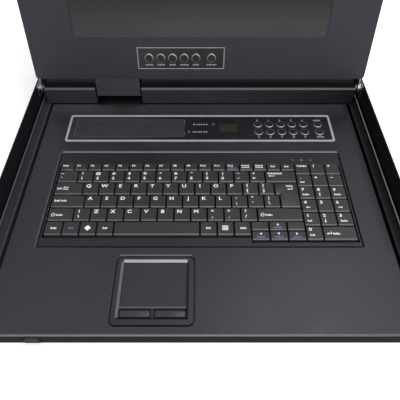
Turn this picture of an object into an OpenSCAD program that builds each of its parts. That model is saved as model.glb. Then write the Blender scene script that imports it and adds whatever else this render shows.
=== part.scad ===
// Rack console drawer: keyboard, touchpad and port selector on a sliding deck, with a folding screen lid.
// Origin: centre of the four front rack slots, on the face that meets the rack posts. -Y is the front.
// The drawer is drawn pulled out and the lid open; both are built closed and then carried to that pose.

/* [Drawer] */
// Outside width of the drawer
module_w = 429; // [420:0.5:429]
// Outside height of the drawer
module_h = 42; // [41:0.5:43]
// Front to back depth of the drawer
module_d = 450; // [440:1:480]
// Sheet steel thickness
sheet = 1.2; // [1:0.1:1.5]
// Outside radius of a folded edge
bend_r = 2.2; // [2:0.1:3]
// Height of the deck surface above the drawer's underside
deck_z = 17; // [16.5:0.1:18]
// How far the drawer is pulled out
travel = 400; // [300:5:400]
// How far the closed drawer's front stands ahead of the posts
front_lead = 8; // [4:1:20]

/* [Deck] */
// Width of the deck sheet
deck_w = 390.8; // [388:0.2:391]
// Width of the slot on each side of the deck
slot_w = 4.1; // [3:0.1:5]
// Width of the ledge outside each slot, lip included
ledge_w = 10.9; // [9:0.1:11]
// Height of the lip on the outer edge of that ledge
lip_h = 2.5; // [1.5:0.1:3]
// Distance from the front edge to the raised rear ledges
rear_ledge_y = 318.2; // [316.5:0.1:319]
// Outside width over the two raised rear ledges
rear_ledge_w = 403.8; // [400:0.2:406]
// Depth of the notches for the hinges and the cable cover
notch_d = 28; // [26:0.5:40]

/* [Keyboard] */
// Pitch of the letter keys
key_pitch = 17.85; // [17.4:0.05:17.9]
// Pitch of the rows of keys
row_pitch = 18; // [17.5:0.1:18]
// Width of the main block of keys
main_w = 272.2; // [271:0.2:274]
// Pitch of the number pad's keys
numpad_pitch = 17.5; // [17:0.1:17.6]
// Gap between two keys at their feet
key_gap = 0.8; // [0.6:0.1:1.2]
// How far a key's sides lean in
key_lean = 0.55; // [0.3:0.05:0.9]
// Gap between two rows of keys at their feet
row_gap = 2; // [1.6:0.1:2.4]
// How far a key's front leans back up to its top, chamfer included
key_front = 1.4; // [1.3:0.1:1.8]
// Height of a key's top above the deck
key_rise = 2.4; // [2:0.1:3]
// Height of a key cap
key_h = 4; // [3.6:0.1:4.5]
// Key travel
key_travel = 2.3; // [1.5:0.1:2.5]
// Distance from the deck's front edge to the lowest row of keys
keys_y = 98; // [96:0.5:100]
// Width of the keyboard frame's outer strip at the sides
kb_side = 3.3; // [3:0.1:4]
// Depth of the frame's strip in front of the keys
kb_front = 4.7; // [4:0.1:7]
// Depth of the frame's strip behind the keys
kb_back = 19.3; // [16:0.1:20]
// How far the frame's face lies below the deck
kb_sink = 0.6; // [0.3:0.1:1]
// Open seam round the keyboard frame and the touchpad
seam = 1.2; // [0.8:0.1:1.4]
// Radius of the deck's upper edge round those seams
lip_r = 1; // [0.6:0.1:1.1]

/* [Touchpad] */
// Touchpad centre, left of the middle
pad_x = 44; // [30:0.5:60]
// Front edge of the touchpad's plate
pad_y = 9.9; // [8:0.1:12]
// Plate width
pad_w = 75.4; // [74:0.2:80]
// Plate depth
pad_d = 70.6; // [69:0.2:72]
// How far the plate lies below the deck
pad_sink = 0.3; // [0.1:0.1:0.5]
// Width of the plate's recess
well_w = 66.6; // [62:0.2:68]
// Depth of the plate's recess, front to back
well_d = 62; // [58:0.5:64]
// Height of the recess's sloping walls
well_h = 2; // [1:0.1:2.2]
// Depth of the two buttons
tap_d = 8.4; // [8:0.2:9]
// Width of the post between the buttons
tap_post = 2.4; // [2:0.2:4]
// Button travel
tap_travel = 0.8; // [0.5:0.1:0.9]

/* [Port panel] */
// Outside width of the bright border
panel_w = 334; // [330:0.5:336]
// Outside depth of the bright border
panel_d = 48.7; // [46:0.1:49]
// Width of the border strip
border = 2.6; // [2:0.1:3.2]
// Centre of the panel, back from the deck's front edge
panel_y = 269.5; // [268:0.5:270]
// Height of the border above the deck
border_rise = 0.9; // [0.7:0.1:1.2]
// Radius of a push button
button_r = 4; // [3.5:0.1:4.2]
// Pitch of the digit buttons
button_pitch = 14.45; // [14:0.05:14.8]
// First digit button, right of the middle
button_x = 73.9; // [72:0.1:75]
// Command buttons, right of the middle
command_x = 150.2; // [149:0.1:151]
// Distance between the two rows of buttons
button_rows = 13.9; // [13:0.1:15]
// Push button travel
button_travel = 0.8; // [0.4:0.1:0.9]

/* [Lid] */
// Lid width
lid_w = 419.6; // [416:0.2:420]
// Lid length, hinge edge to front edge
lid_d = 314; // [313:0.5:314]
// Lid thickness
lid_t = 18.9; // [18:0.1:18.9]
// Height of the closed lid's face above the deck
lid_clear = 6; // [5.8:0.1:6]
// Distance from the lid's hinge edge to the raised ledges when closed
lid_back = 3.4; // [3:0.1:4]
// Angle that the lid is opened to, from closed
lid_open = 102; // [92:1:112]
// Corner radius of the lid
lid_r = 4; // [2:0.5:6]
// Width of the visible screen
screen_w = 306; // [300:1:310]
// Height of the visible screen
screen_d = 230; // [226:1:232]
// Distance from the hinge edge to the visible screen
screen_back = 52; // [52:0.5:54]
// Width of the cable cover
tongue_w = 56.6; // [50:0.2:57]
// Length of the cable cover past the lid's edge
tongue_l = 26; // [22:0.5:26]
// Centre of the cable cover, left of the middle
tongue_x = 106.5; // [100:0.5:120]

/* [Screen menu buttons] */
// Width of the overlay
menu_w = 108; // [104:0.5:112]
// Depth of the overlay
menu_d = 27.4; // [24:0.2:28]
// Centre of the overlay, left of the middle
menu_x = 23.7; // [20:0.1:28]
// Centre of the buttons, up from the hinge edge
menu_y = 27.2; // [26:0.1:28]
// Pitch of the first five buttons
menu_pitch = 14.55; // [14:0.05:14.8]

/* [Hinge] */
// Hinge axis behind the front of the raised ledges
hinge_back = 13; // [12.6:0.1:14]
// Hinge axis above the deck
hinge_up = 16.9; // [16.5:0.1:17.5]
// Hinge pin radius
pin_r = 3; // [2.5:0.1:3.5]
// Running gap round the pin
pin_gap = 0.05; // [0.02:0.01:0.1]
// Thickness of the hinge plates
plate_t = 1.5; // [1.3:0.1:1.5]
// Radius of the arm's round end
arm_r = 8; // [7:0.5:8]
// Length of the arm inside the lid
arm_in = 34; // [25:1:60]

/* [Slides] */
// Height of the outer slide member
slide_h = 26; // [25:0.5:27]
// Thickness of the whole slide
slide_t = 9; // [8.8:0.1:9]
// How much shorter than the drawer each slide member is
slide_short = 2; // [1:0.5:10]
// Clearance between slide members
slide_gap = 0.3; // [0.2:0.05:0.35]

/* [Rack brackets] */
// Distance between the two columns of rack holes
rack_holes_x = 465.1; // [465.1:0.1:465.2]
// Distance between the upper and lower rack hole of one unit
rack_holes_z = 31.75; // [31.7:0.05:31.8]
// Width over both ears
rack_w = 482.6; // [480:0.2:483]
// Height of an ear
ear_h = 43.6; // [42:0.2:44]
// Thickness of the brackets
ear_t = 1.5; // [1.5:0.1:2]
// Half width of a rack slot
ear_slot_r = 3.4; // [3:0.1:3.5]
// Length of a rack slot
ear_slot_l = 10; // [8:0.5:10]
// Length of the front bracket's web
front_web = 60; // [50:1:90]
// Distance between the front and rear posts' faces
rack_d = 600; // [560:5:740]
// Overlap of the rear bracket on the slide
rear_lap = 80; // [70:1:120]
// Screw radius
screw_r = 1.95; // [1.5:0.05:2]

/* [Rear bay] */
// Number of computer ports
ports = 8; // [4:1:8]
// Pitch of the computer ports
port_pitch = 34; // [32:0.5:35]
// Circuit board thickness
board_t = 1.6; // [1.2:0.1:2]

/* [Hidden] */
$fn = 48;
over = 1;
fit = 0.3;
slot_clear = 0.5;
hw = module_w/2;
wall_in = hw - sheet;
deck_hw = deck_w/2;
rail_in = deck_hw + slot_w;
lip_out = rail_in + ledge_w;
front_hw = wall_in - bend_r + sheet;
notch_y = rear_ledge_y + notch_d;
cover_hw = rear_ledge_w/2;
drawer_y = -travel - front_lead;
drawer_z = -module_h/2;

// Keyboard: the short rows and the arrow keys as shares of the pitches
short_share = 2/3;
rows_share = 6;
numpad_count = 3;
keys_w = main_w + numpad_count*numpad_pitch;
keys_d = rows_share*row_pitch;
keys_x0 = -keys_w/2;
keys_y1 = keys_y + keys_d;
numpad_x0 = keys_x0 + main_w;
arrow_share = 1.055;
arrow_count = 3;
arrows_x0 = numpad_x0 - arrow_count*arrow_share*key_pitch;
key_top = deck_z + key_rise;
key_foot = key_top - key_h;
kb_top = deck_z - kb_sink;
kb_x = keys_w/2 + kb_side;
kb_y0 = keys_y - kb_front;
kb_y1 = keys_y1 + kb_back;
key_back = 0.2;
key_chamfer = 1.2;
kb_corner = 1;
rim_w = 3.2;
rim_drop = 2;
kb_floor_t = 1.2;
kb_floor_gap = 0.7;
kb_floor = key_foot - key_travel - kb_floor_gap;
stem_w = 4;
stem_below = 1.5;
kb_gap = 0.5;
space_y = keys_y + (2*short_share - 1)*row_pitch;
function row_y(n) = space_y + n*row_pitch;
// Widths of the keys of each row from the left, as shares of the letter keys' pitch; where a row is
// filled, its last key reaches to the row's end
function ones(n) = [for (i = [1:n]) 1];
function sum_to(list, n) = n <= 0 ? 0 : list[n - 1] + sum_to(list, n - 1);
function total(list) = sum_to(list, len(list));
function filled(shares, w) = concat(shares, [w/key_pitch - total(shares)]);
space_shares = filled([1.05, 1, 1, 1, 5.04, 1, 1], arrows_x0 - keys_x0);
shift_shares = filled(concat([1.53], ones(11)), main_w);
caps_shares = concat([2.02], ones(12));
tab_shares = concat([1.76], ones(12));
number_shares = filled(concat([1.265], ones(12)), main_w);
function_count = 17;

lamp_count = 3;
lamp_r = 0.9;
lamp_pitch = 10.8;
lamp_back = 8;
lamp_x = numpad_x0 + lamp_pitch/2;
lamp_proud = 0.3;

// Touchpad
pad_top = deck_z - pad_sink;
pad_cy = pad_y + pad_d/2;
well_shift = 1;
well_y0 = pad_cy - well_d/2 + well_shift;
well_y1 = well_y0 + well_d;
pad_face = pad_top - well_h;
pad_edge = 0.6;
face_t = 1.2;
pad_floor_t = 1;
tap_t = 1.8;
tap_spare = 0.5;
tap_drop = 0.2;
tap_top = pad_face - tap_drop;
pad_floor = tap_top - tap_t - tap_travel - tap_spare;
tap_w = (well_w - 2*well_h - tap_post)/2 - 2*fit;
tap_stem_r = 1.5;
pad_bar = 2.6;
pad_corner = 5;
tap_y0 = well_y0 + well_h + fit;
tap_y1 = tap_y0 + tap_d;
face_y0 = tap_y1 + fit + pad_bar;
face_y1 = well_y1 - well_h - pad_edge;
tap_offset = tap_post/2 + fit + tap_w/2;

// Port panel
panel_plate_t = 0.4;
panel_face = deck_z + panel_plate_t;
panel_in_w = panel_w - 2*border;
panel_in_d = panel_d - 2*border;
panel_lip = 5;
panel_cut_w = panel_in_w - 2*panel_lip;
panel_cut_d = panel_in_d - panel_lip;
board_drop = 5;
board_z = deck_z - board_drop;
button_proud = 0.9;
button_flange = 0.9;
button_flange_t = 0.8;
display_w = 23;
display_d = 13;
display_x = 35.8;
row_up_y = panel_y + button_rows/2;
row_low_y = panel_y - button_rows/2;
lamp_up_x = 17;
lamp_low_x = -13.7;
panel_lamp_r = 1.2;
post_r = 2.4;
digits = 5;
panel_corner = 3;

// Lid, drawn closed
lid_hw = lid_w/2;
lid_y1 = rear_ledge_y - lid_back;
lid_y0 = lid_y1 - lid_d;
lid_z0 = deck_z + lid_clear;
lid_z1 = lid_z0 + lid_t;
lid_mid_y = (lid_y0 + lid_y1)/2;
bezel_t = 1.2;
bezel_gap = 0.2;
screen_y1 = lid_y1 - screen_back;
screen_y0 = screen_y1 - screen_d;
glass_lap = 10;
glass_t = 9;
glass_bevel = 0.6;
menu_t = 0.5;
menu_cy = lid_y1 - menu_y;
menu_x0 = -menu_x - menu_w/2;
menu_first = 14.4;
menu_last_gap = 19.4;
menu_count = 5;
menu_r = 4;
menu_cut = 3;
menu_proud = 0.5;
menu_travel = 0.4;
menu_board_up = 4.2;
menu_board_z = lid_z0 + menu_board_up;
menu_board_d = 16;
driver_w = 180;
driver_d = 90;
driver_lift = 3;
driver_z = lid_z0 + bezel_t + glass_t + driver_lift;
tongue_t = 1.2;
tongue_flange = 12;
tongue_side = 2;
tongue_cut_x0 = -tongue_x - tongue_w/2 - tongue_side;
tongue_cut_x1 = -tongue_x + tongue_w/2 + tongue_side;
cable_hole_w = 30;
cable_hole_h = 8;
axis_y = rear_ledge_y + hinge_back;
axis_z = deck_z + hinge_up;

// Hinge
arm_gap = 0.1;
arm_x1 = lid_hw - sheet - arm_gap;
arm_x0 = arm_x1 - plate_t;
arm_low = 6;
arm_high = 6.3;
bracket_x = wall_in - plate_t;
spacer_r = 6;
nut_r = 5.5;
nut_t = 2;
nut_sides = 6;
bracket_front = 9;
bracket_y0 = axis_y - bracket_front;
bracket_y1 = notch_y - slot_clear;
bracket_low = 10;
bracket_high = 7;

// Slides, drawn for the right side with x from the drawer's wall
slide_sheet = 1.2;
slide_lift = 0.5;
slide_up = slide_h/2 + slide_lift;
slide_l = module_d - slide_short;
slide_z = drawer_z + slide_up;
lip_depth = 1.2;
outer_x1 = slide_t;
outer_hz = slide_h/2;
outer_x0 = 1.7;
mid_hz = outer_hz - slide_sheet - slide_gap;
mid_x0 = outer_x0 + slide_sheet + slide_gap;
mid_x1 = outer_x1 - slide_sheet - slide_gap;
inner_hz = mid_hz - slide_sheet - slide_gap;
inner_neck = mid_hz - slide_sheet - lip_depth - slide_gap;
inner_foot_x = mid_x0 + slide_sheet + slide_gap;
inner_x1 = mid_x1 - slide_sheet - slide_gap;
slide_start = 2;

// Brackets
web_x = hw + slide_t;
ear_hw = rack_w/2;
screw_gap = 0.1;
head_r = 3.5;
head_t = 1.3;
screw_inset = 18;
screw_span = 30;
ear_r = 3;
rear_web_low = slide_z - outer_hz;
rear_web_high = slide_z + outer_hz;

// Rear bay
bay_y0 = notch_y + sheet;
bay_y1 = module_d - sheet;
port_w = 30.8;
port_h = 12.6;
port_t = 1;
port_shell_w = 17;
port_shell_h = 8.4;
port_shell_t = 5.5;
port_slant = 1.5;
port_body_d = 12;
port_x0 = -182;
port_z = 14;
port_nut_r = 2.4;
port_nut_span = 25;
port_nut_t = 4.5;
board_back = 2;
board_y1 = bay_y1 - board_back;
board_lift = 6;
board_w = 300;
board_d = 86;
board_x0 = -205;
chip_count = 4;
chip_first = 40;
chip_pitch = 60;
chip_front = 26;
chip_w = 22;
chip_h = 2.4;
usb_w = 14.5;
usb_h = 7;
usb_pitch = 20;
usb_x0 = 103;
usb_count = 2;
usb_cut_w = 12.4;
usb_cut_h = 4.6;
usb_cut_d = 9;
usb_tongue_t = 1.8;
inlet_x = 178;
inlet_w = 28;
inlet_h = 20.5;
inlet_flange_w = 50;
inlet_flange_h = 24;
inlet_flange_t = 2;
inlet_body_d = 24;
inlet_cut_w = 24.5;
inlet_cut_h = 17;
inlet_cut_d = 16;
inlet_z = 21;
inlet_pin_w = 2;
inlet_pin_h = 4;
inlet_pin_l = 12;
inlet_pin_pitch = 7;
inlet_pin_up = 2;
supply_x0 = 108;
supply_w = 84;
supply_d = 62;
supply_h = 30;
supply_lift = 5;
supply_front = 4;
supply_y0 = bay_y0 + supply_front;
vent_w = 3;
vent_pitch = 9;
vent_top = 4;
vent_h = 8;
vent_z1 = module_h - vent_top;
vent_z0 = vent_z1 - vent_h;
vent_start = 12;
vent_y0 = notch_y + vent_start;
vent_count = floor((module_d - vent_start - vent_y0)/vent_pitch) + 1;
wall_corner = 8;

// Front latch
latch_x = -151.2;
latch_w = 13.8;
latch_h = 11.3;
latch_z0 = 3.3;
latch_proud = 1.6;
latch_travel = 3;
latch_flange = 2;
latch_flange_t = 1.2;
latch_stem = 2*latch_travel;

// Places

module in_drawer() {
    translate([0, drawer_y, drawer_z]) children();
}

module in_lid() {
    in_drawer()
        translate([0, axis_y, axis_z])
            rotate([-lid_open, 0, 0])
                translate([0, -axis_y, -axis_z])
                    children();
}

// side is -1 on the left and 1 on the right; children are drawn for the right
module on_side(side) {
    mirror([side < 0 ? 1 : 0, 0, 0]) children();
}

// Shapes

module slab(x0, x1, y0, y1, z0, z1) {
    translate([x0, y0, z0]) cube([x1 - x0, y1 - y0, z1 - z0]);
}

module along_x(x0, x1) {
    translate([x0, 0, 0]) rotate([90, 0, 90]) linear_extrude(x1 - x0) children();
}

module along_y(y0, y1) {
    translate([0, y1, 0]) rotate([90, 0, 0]) linear_extrude(y1 - y0) children();
}

module round_rect(w, d, r) {
    square([w - 2*r, d], center = true);
    square([w, d - 2*r], center = true);
    for (x = [-1, 1], y = [-1, 1])
        translate([x*(w/2 - r), y*(d/2 - r)]) circle(r);
}

module round_slab(w, d, r, x, y, z0, z1) {
    translate([x, y, z0]) linear_extrude(z1 - z0) round_rect(w, d, r);
}

module disc(x, y, r, z0, z1) {
    translate([x, y, z0]) cylinder(r = r, h = z1 - z0);
}

module rod_x(x0, x1, y, z, r) {
    translate([x0, y, z]) rotate([0, 90, 0]) cylinder(r = r, h = x1 - x0);
}

// Folded corner in side view: the outer corner at the origin, one leg back and one leg down
module fold_profile(back, down) {
    difference() {
        union() {
            translate([bend_r, -sheet]) square([back - bend_r, sheet]);
            translate([0, -down]) square([sheet, down - bend_r]);
            intersection() {
                translate([bend_r, -bend_r]) circle(bend_r);
                translate([0, -bend_r]) square(bend_r);
            }
        }
        translate([bend_r, -bend_r]) circle(bend_r - sheet);
    }
}

// Drawer shell

module tray_profile() {
    difference() {
        translate([0, module_h]) round_rect(module_w, 2*module_h, bend_r);
        translate([0, module_h]) round_rect(2*wall_in, 2*(module_h - sheet), bend_r - sheet);
        translate([-hw - over, module_h]) square([module_w + 2*over, module_h + over]);
    }
}

module wall_corner_cut() {
    difference() {
        translate([-over, module_h - wall_corner]) square([wall_corner + over, wall_corner + over]);
        translate([wall_corner, module_h - wall_corner]) circle(wall_corner);
    }
}

module base_tray() {
    color("#1c1d20") in_drawer() difference() {
        along_y(0, module_d) tray_profile();
        along_x(-hw - over, hw + over) wall_corner_cut();
        for (i = [0:vent_count - 1])
            slab(-hw - over, hw + over, vent_y0 + i*vent_pitch, vent_y0 + i*vent_pitch + vent_w,
                vent_z0, vent_z1);
    }
}

// Arched outline of the latch in front view, with its foot flat
module latch_outline(grow) {
    arch_z = latch_z0 + latch_h - latch_w/2;
    r = latch_w/2 + grow;
    translate([latch_x - r, latch_z0 - grow]) square([2*r, arch_z - latch_z0 + grow]);
    intersection() {
        translate([latch_x, arch_z]) circle(r);
        translate([latch_x - r, arch_z]) square([2*r, r]);
    }
}

// What a rounded edge takes away, for an edge at the origin with the sheet to its right and below
module lip_profile() {
    difference() {
        translate([-over, -lip_r]) square([lip_r + over, lip_r + over]);
        translate([lip_r, -lip_r]) circle(lip_r);
    }
}

// Opening in the deck with rounded corners and a rounded upper edge
module deck_opening(w, d, r, x, y) {
    round_slab(w, d, r, x, y, 0, deck_z + over);
    translate([x, y, deck_z]) {
        for (side = [-1, 1]) {
            on_side(side) along_y(r - d/2, d/2 - r) translate([w/2, 0]) lip_profile();
            mirror([0, side < 0 ? 1 : 0, 0]) along_x(r - w/2, w/2 - r) translate([d/2, 0]) lip_profile();
        }
        for (i = [-1, 1], j = [-1, 1])
            translate([i*(w/2 - r), j*(d/2 - r), 0]) rotate_extrude() translate([r, 0]) lip_profile();
    }
}

module deck_plate() {
    color("#2b2d31") in_drawer() difference() {
        union() {
            along_x(-front_hw, front_hw)
                translate([0, deck_z]) fold_profile(bend_r + sheet, deck_z - sheet);
            slab(-deck_hw, deck_hw, bend_r, notch_y, deck_z - sheet, deck_z);
            for (side = [-1, 1]) on_side(side)
                slab(deck_hw - sheet, deck_hw, bend_r + sheet, notch_y, sheet, deck_z);
        }
        deck_opening(2*(kb_x + seam), kb_y1 - kb_y0 + 2*seam, kb_corner + seam, 0, (kb_y0 + kb_y1)/2);
        deck_opening(pad_w + 2*seam, pad_d + 2*seam, pad_corner + seam, -pad_x, pad_cy);
        translate([0, panel_y, 0])
            slab(-panel_cut_w/2, panel_cut_w/2, -panel_cut_d/2, panel_cut_d/2, 0, deck_z + over);
        along_y(-over, sheet + over) latch_outline(fit);
    }
}

module side_ledge(side) {
    color("#1f2023") in_drawer() on_side(side) {
        slab(rail_in, lip_out, sheet + bend_r, notch_y, deck_z - sheet, deck_z);
        slab(rail_in, rail_in + sheet, sheet + bend_r, notch_y, sheet, deck_z - sheet);
        slab(rail_in + sheet, lip_out, sheet + bend_r, notch_y, sheet, 2*sheet);
        slab(lip_out - sheet, lip_out, sheet + bend_r, notch_y, deck_z, deck_z + lip_h);
    }
}

// Raised ledges and cover of the rear bay, folded from one sheet, open round the hinges and cable cover

module ledge_fold(x0, x1) {
    along_x(x0, x1) translate([rear_ledge_y, module_h]) fold_profile(notch_d, module_h - deck_z);
}

module ledge_wall(x0, x1, y0, y1) {
    slab(x0, x1, y0, y1, deck_z, module_h - sheet);
}

module rear_cover() {
    color("#26282b") in_drawer() difference() {
        union() {
            ledge_fold(-cover_hw, tongue_cut_x0);
            ledge_fold(tongue_cut_x1, cover_hw);
            slab(-wall_in, wall_in, notch_y, module_d, module_h - sheet, module_h);
            ledge_wall(tongue_cut_x0 - sheet, tongue_cut_x0, rear_ledge_y + bend_r, notch_y);
            ledge_wall(tongue_cut_x1, tongue_cut_x1 + sheet, rear_ledge_y + bend_r, notch_y);
            ledge_wall(tongue_cut_x0 - sheet, tongue_cut_x1 + sheet, notch_y, notch_y + sheet);
            for (side = [-1, 1]) on_side(side) {
                ledge_wall(cover_hw - sheet, cover_hw, rear_ledge_y + bend_r, notch_y);
                ledge_wall(cover_hw - sheet, wall_in, notch_y, notch_y + sheet);
            }
        }
        translate([-tongue_x - cable_hole_w/2, notch_y - over, deck_z + sheet])
            cube([cable_hole_w, sheet + 2*over, cable_hole_h]);
    }
}

// Rear bay

module port_centres() {
    for (i = [0:ports - 1]) translate([port_x0 + i*port_pitch, bay_y1, port_z]) children();
}

module usb_centres() {
    for (i = [0:usb_count - 1]) translate([usb_x0 + i*usb_pitch, bay_y1, port_z]) children();
}

module rear_panel() {
    color("#2b2d31") in_drawer() difference() {
        slab(-wall_in, wall_in, bay_y1, module_d, sheet + bend_r, module_h - sheet);
        port_centres()
            translate([-port_shell_w/2 - fit, -over, -port_shell_h/2 - fit])
                cube([port_shell_w + 2*fit, sheet + 2*over, port_shell_h + 2*fit]);
        port_centres() for (x = [-1, 1])
            translate([x*port_nut_span/2, -over, 0]) rotate([-90, 0, 0])
                cylinder(r = port_nut_r/2 + fit, h = sheet + 2*over);
        usb_centres()
            translate([-usb_w/2 - fit, -over, -usb_h/2 - fit])
                cube([usb_w + 2*fit, sheet + 2*over, usb_h + 2*fit]);
        slab(inlet_x - inlet_w/2 - fit, inlet_x + inlet_w/2 + fit, bay_y1 - over, module_d + over,
            inlet_z - inlet_h/2 - fit, inlet_z + inlet_h/2 + fit);
    }
}

module standoffs(x0, x1, y0, y1, z0, z1) {
    for (x = [x0, x1], y = [y0, y1]) disc(x, y, post_r, z0, z1);
}

module switch_board() {
    color("#1f4d33") in_drawer() {
        slab(board_x0, board_x0 + board_w, board_y1 - board_d, board_y1,
            board_lift, board_lift + board_t);
        standoffs(board_x0 + 2*post_r, board_x0 + board_w - 2*post_r, board_y1 - board_d + 2*post_r,
            board_y1 - 3*post_r - port_body_d, sheet, board_lift);
        for (i = [0:chip_count - 1])
            translate([board_x0 + chip_first + i*chip_pitch, board_y1 - board_d + chip_front,
                board_lift + board_t])
                cube([chip_w, chip_w, chip_h]);
    }
}

// Face of a port: two slanted sides, the longer edge up
module port_outline() {
    polygon([[-port_shell_w/2, port_shell_h/2], [port_shell_w/2, port_shell_h/2],
        [port_shell_w/2 - port_slant, -port_shell_h/2], [-port_shell_w/2 + port_slant, -port_shell_h/2]]);
}

module computer_ports() {
    color("#3b55a6") in_drawer() port_centres() {
        translate([-port_w/2, -port_body_d, -port_h/2]) cube([port_w, port_body_d, port_h]);
        along_y(0, sheet + port_shell_t) port_outline();
        for (x = [-1, 1]) translate([x*port_nut_span/2, 0, 0]) rotate([-90, 0, 0]) {
            cylinder(r = port_nut_r/2, h = sheet);
            translate([0, 0, sheet]) cylinder(r = port_nut_r, h = port_nut_t, $fn = nut_sides);
        }
        translate([-port_w/2 + port_t, -port_body_d, board_lift + board_t - port_z])
            cube([port_w - 2*port_t, port_body_d/2, port_z - board_lift - board_t - port_h/2]);
    }
}

module console_ports() {
    color("#b9bcc0") in_drawer() usb_centres() {
        difference() {
            translate([-usb_w/2, -port_body_d, -usb_h/2]) cube([usb_w, port_body_d + sheet, usb_h]);
            translate([-usb_cut_w/2, sheet - usb_cut_d, -usb_cut_h/2])
                cube([usb_cut_w, usb_cut_d + over, usb_cut_h]);
        }
        translate([-usb_cut_w/2 + port_t, sheet - usb_cut_d, usb_cut_h/2 - usb_tongue_t])
            cube([usb_cut_w - 2*port_t, usb_cut_d - port_t, usb_tongue_t]);
    }
}

module power_inlet() {
    color("#17181a") in_drawer() translate([inlet_x, module_d, inlet_z]) {
        difference() {
            union() {
                translate([-inlet_flange_w/2, 0, -inlet_flange_h/2])
                    cube([inlet_flange_w, inlet_flange_t, inlet_flange_h]);
                translate([-inlet_w/2, -inlet_body_d, -inlet_h/2])
                    cube([inlet_w, inlet_body_d, inlet_h]);
            }
            translate([-inlet_cut_w/2, inlet_flange_t - inlet_cut_d, -inlet_cut_h/2])
                cube([inlet_cut_w, inlet_cut_d + over, inlet_cut_h]);
        }
        for (i = [-1:1])
            translate([i*inlet_pin_pitch - inlet_pin_w/2, inlet_flange_t - inlet_cut_d,
                inlet_pin_up - (i == 0 ? inlet_pin_h : 0)])
                cube([inlet_pin_w, inlet_pin_l, inlet_pin_h]);
    }
}

module power_supply() {
    color("#b9bcc0") in_drawer() {
        slab(supply_x0, supply_x0 + supply_w, supply_y0, supply_y0 + supply_d, supply_lift,
            supply_lift + supply_h);
        standoffs(supply_x0 + 3*post_r, supply_x0 + supply_w - 3*post_r, supply_y0 + 3*post_r,
            supply_y0 + supply_d - 3*post_r, sheet, supply_lift);
    }
}

// Port panel

module panel_border() {
    color("silver") in_drawer() translate([0, panel_y, deck_z]) linear_extrude(border_rise)
        difference() {
            round_rect(panel_w, panel_d, panel_corner);
            round_rect(panel_in_w, panel_in_d, panel_corner - border/2);
        }
}

module digit_places(y) {
    for (i = [0:digits - 1]) translate([button_x + i*button_pitch, y, 0]) children();
}

module command_place(y) {
    translate([command_x, y, 0]) children();
}

module panel_plate() {
    plate_w = panel_in_w - 2*fit;
    plate_d = panel_in_d - 2*fit;
    color("#1d1f24") in_drawer() difference() {
        union() {
            round_slab(plate_w, plate_d, panel_corner - border/2, 0, panel_y, deck_z, panel_face);
            for (x = [-1, 0, 1], y = [-1, 1])
                disc(x*(panel_cut_w/2 - 3*post_r), panel_y + y*(panel_cut_d/2 - 1.5*post_r), post_r,
                    board_z + board_t, deck_z);
        }
        for (y = [row_up_y, row_low_y]) {
            digit_places(y) cylinder(r = button_r + fit, h = 2*deck_z);
            command_place(y) cylinder(r = button_r + fit, h = 2*deck_z);
        }
        slab(display_x - display_w/2 - fit, display_x + display_w/2 + fit,
            panel_y - display_d/2 - fit, panel_y + display_d/2 + fit, 0, 2*deck_z);
        disc(lamp_up_x, row_up_y, panel_lamp_r + fit, 0, 2*deck_z);
        disc(lamp_low_x, row_low_y, panel_lamp_r + fit, 0, 2*deck_z);
    }
}

module panel_board() {
    color("#1f4d33") in_drawer()
        slab(-panel_cut_w/2 + fit, panel_cut_w/2 - fit, panel_y - panel_cut_d/2 + fit,
            panel_y + panel_cut_d/2 - fit, board_z, board_z + board_t);
}

module digit_display() {
    color("#15160f") in_drawer() {
        slab(display_x - display_w/2, display_x + display_w/2, panel_y - display_d/2,
            panel_y + display_d/2, board_z + board_t, panel_face + fit/2);
    }
}

module panel_lamps() {
    color("#e8e8e0") in_drawer() {
        disc(lamp_up_x, row_up_y, panel_lamp_r, board_z + board_t, panel_face + fit);
        disc(lamp_low_x, row_low_y, panel_lamp_r, board_z + board_t, panel_face + fit);
    }
}

// Push button: cap, a flange that the panel holds back and a stem down to the switch
module push_button() {
    translate([0, 0, deck_z - fit]) cylinder(r = button_r, h = panel_face - deck_z + fit + button_proud);
    translate([0, 0, deck_z - fit - button_flange_t])
        cylinder(r = button_r + button_flange, h = button_flange_t);
    translate([0, 0, board_z + board_t + button_travel + fit])
        cylinder(r = button_r/2, h = deck_z - fit - button_flange_t
            - board_z - board_t - button_travel - fit);
}

module digit_buttons(y) {
    color("#2c2e33") in_drawer() digit_places(y) push_button();
}

module command_button(y) {
    color("#2c2e33") in_drawer() command_place(y) push_button();
}

// Keyboard

// Key cap, its foot's near left corner at the origin: steep sides and back, a leaning front that is
// chamfered under the top
module cap(w, d) {
    intersection() {
        along_y(0, d) polygon([[0, 0], [w, 0], [w - key_lean, key_h], [key_lean, key_h]]);
        along_x(0, w) polygon([[0, 0], [d, 0], [d - key_back, key_h], [key_front, key_h],
            [key_front - key_chamfer, key_h - key_chamfer]]);
    }
}

module stem(x, y) {
    translate([x - stem_w/2, y - stem_w/2, kb_floor - kb_floor_t - stem_below - key_foot])
        cube([stem_w, stem_w, key_foot - kb_floor + kb_floor_t + stem_below]);
}

module key(w, d) {
    cap(w, d);
    stem(w/2, d/2);
}

function stem_y(c) = c[1] + c[3]/2 + (row_gap - key_gap)/2;

// Places of the keys of one row, each as [left, front, width, depth] of its cell
function row_cells(shares, x0, y, pitch = key_pitch, d = row_pitch) = [for (i = [0:len(shares) - 1])
    [x0 + sum_to(shares, i)*pitch, y, shares[i]*pitch, d]];

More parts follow.
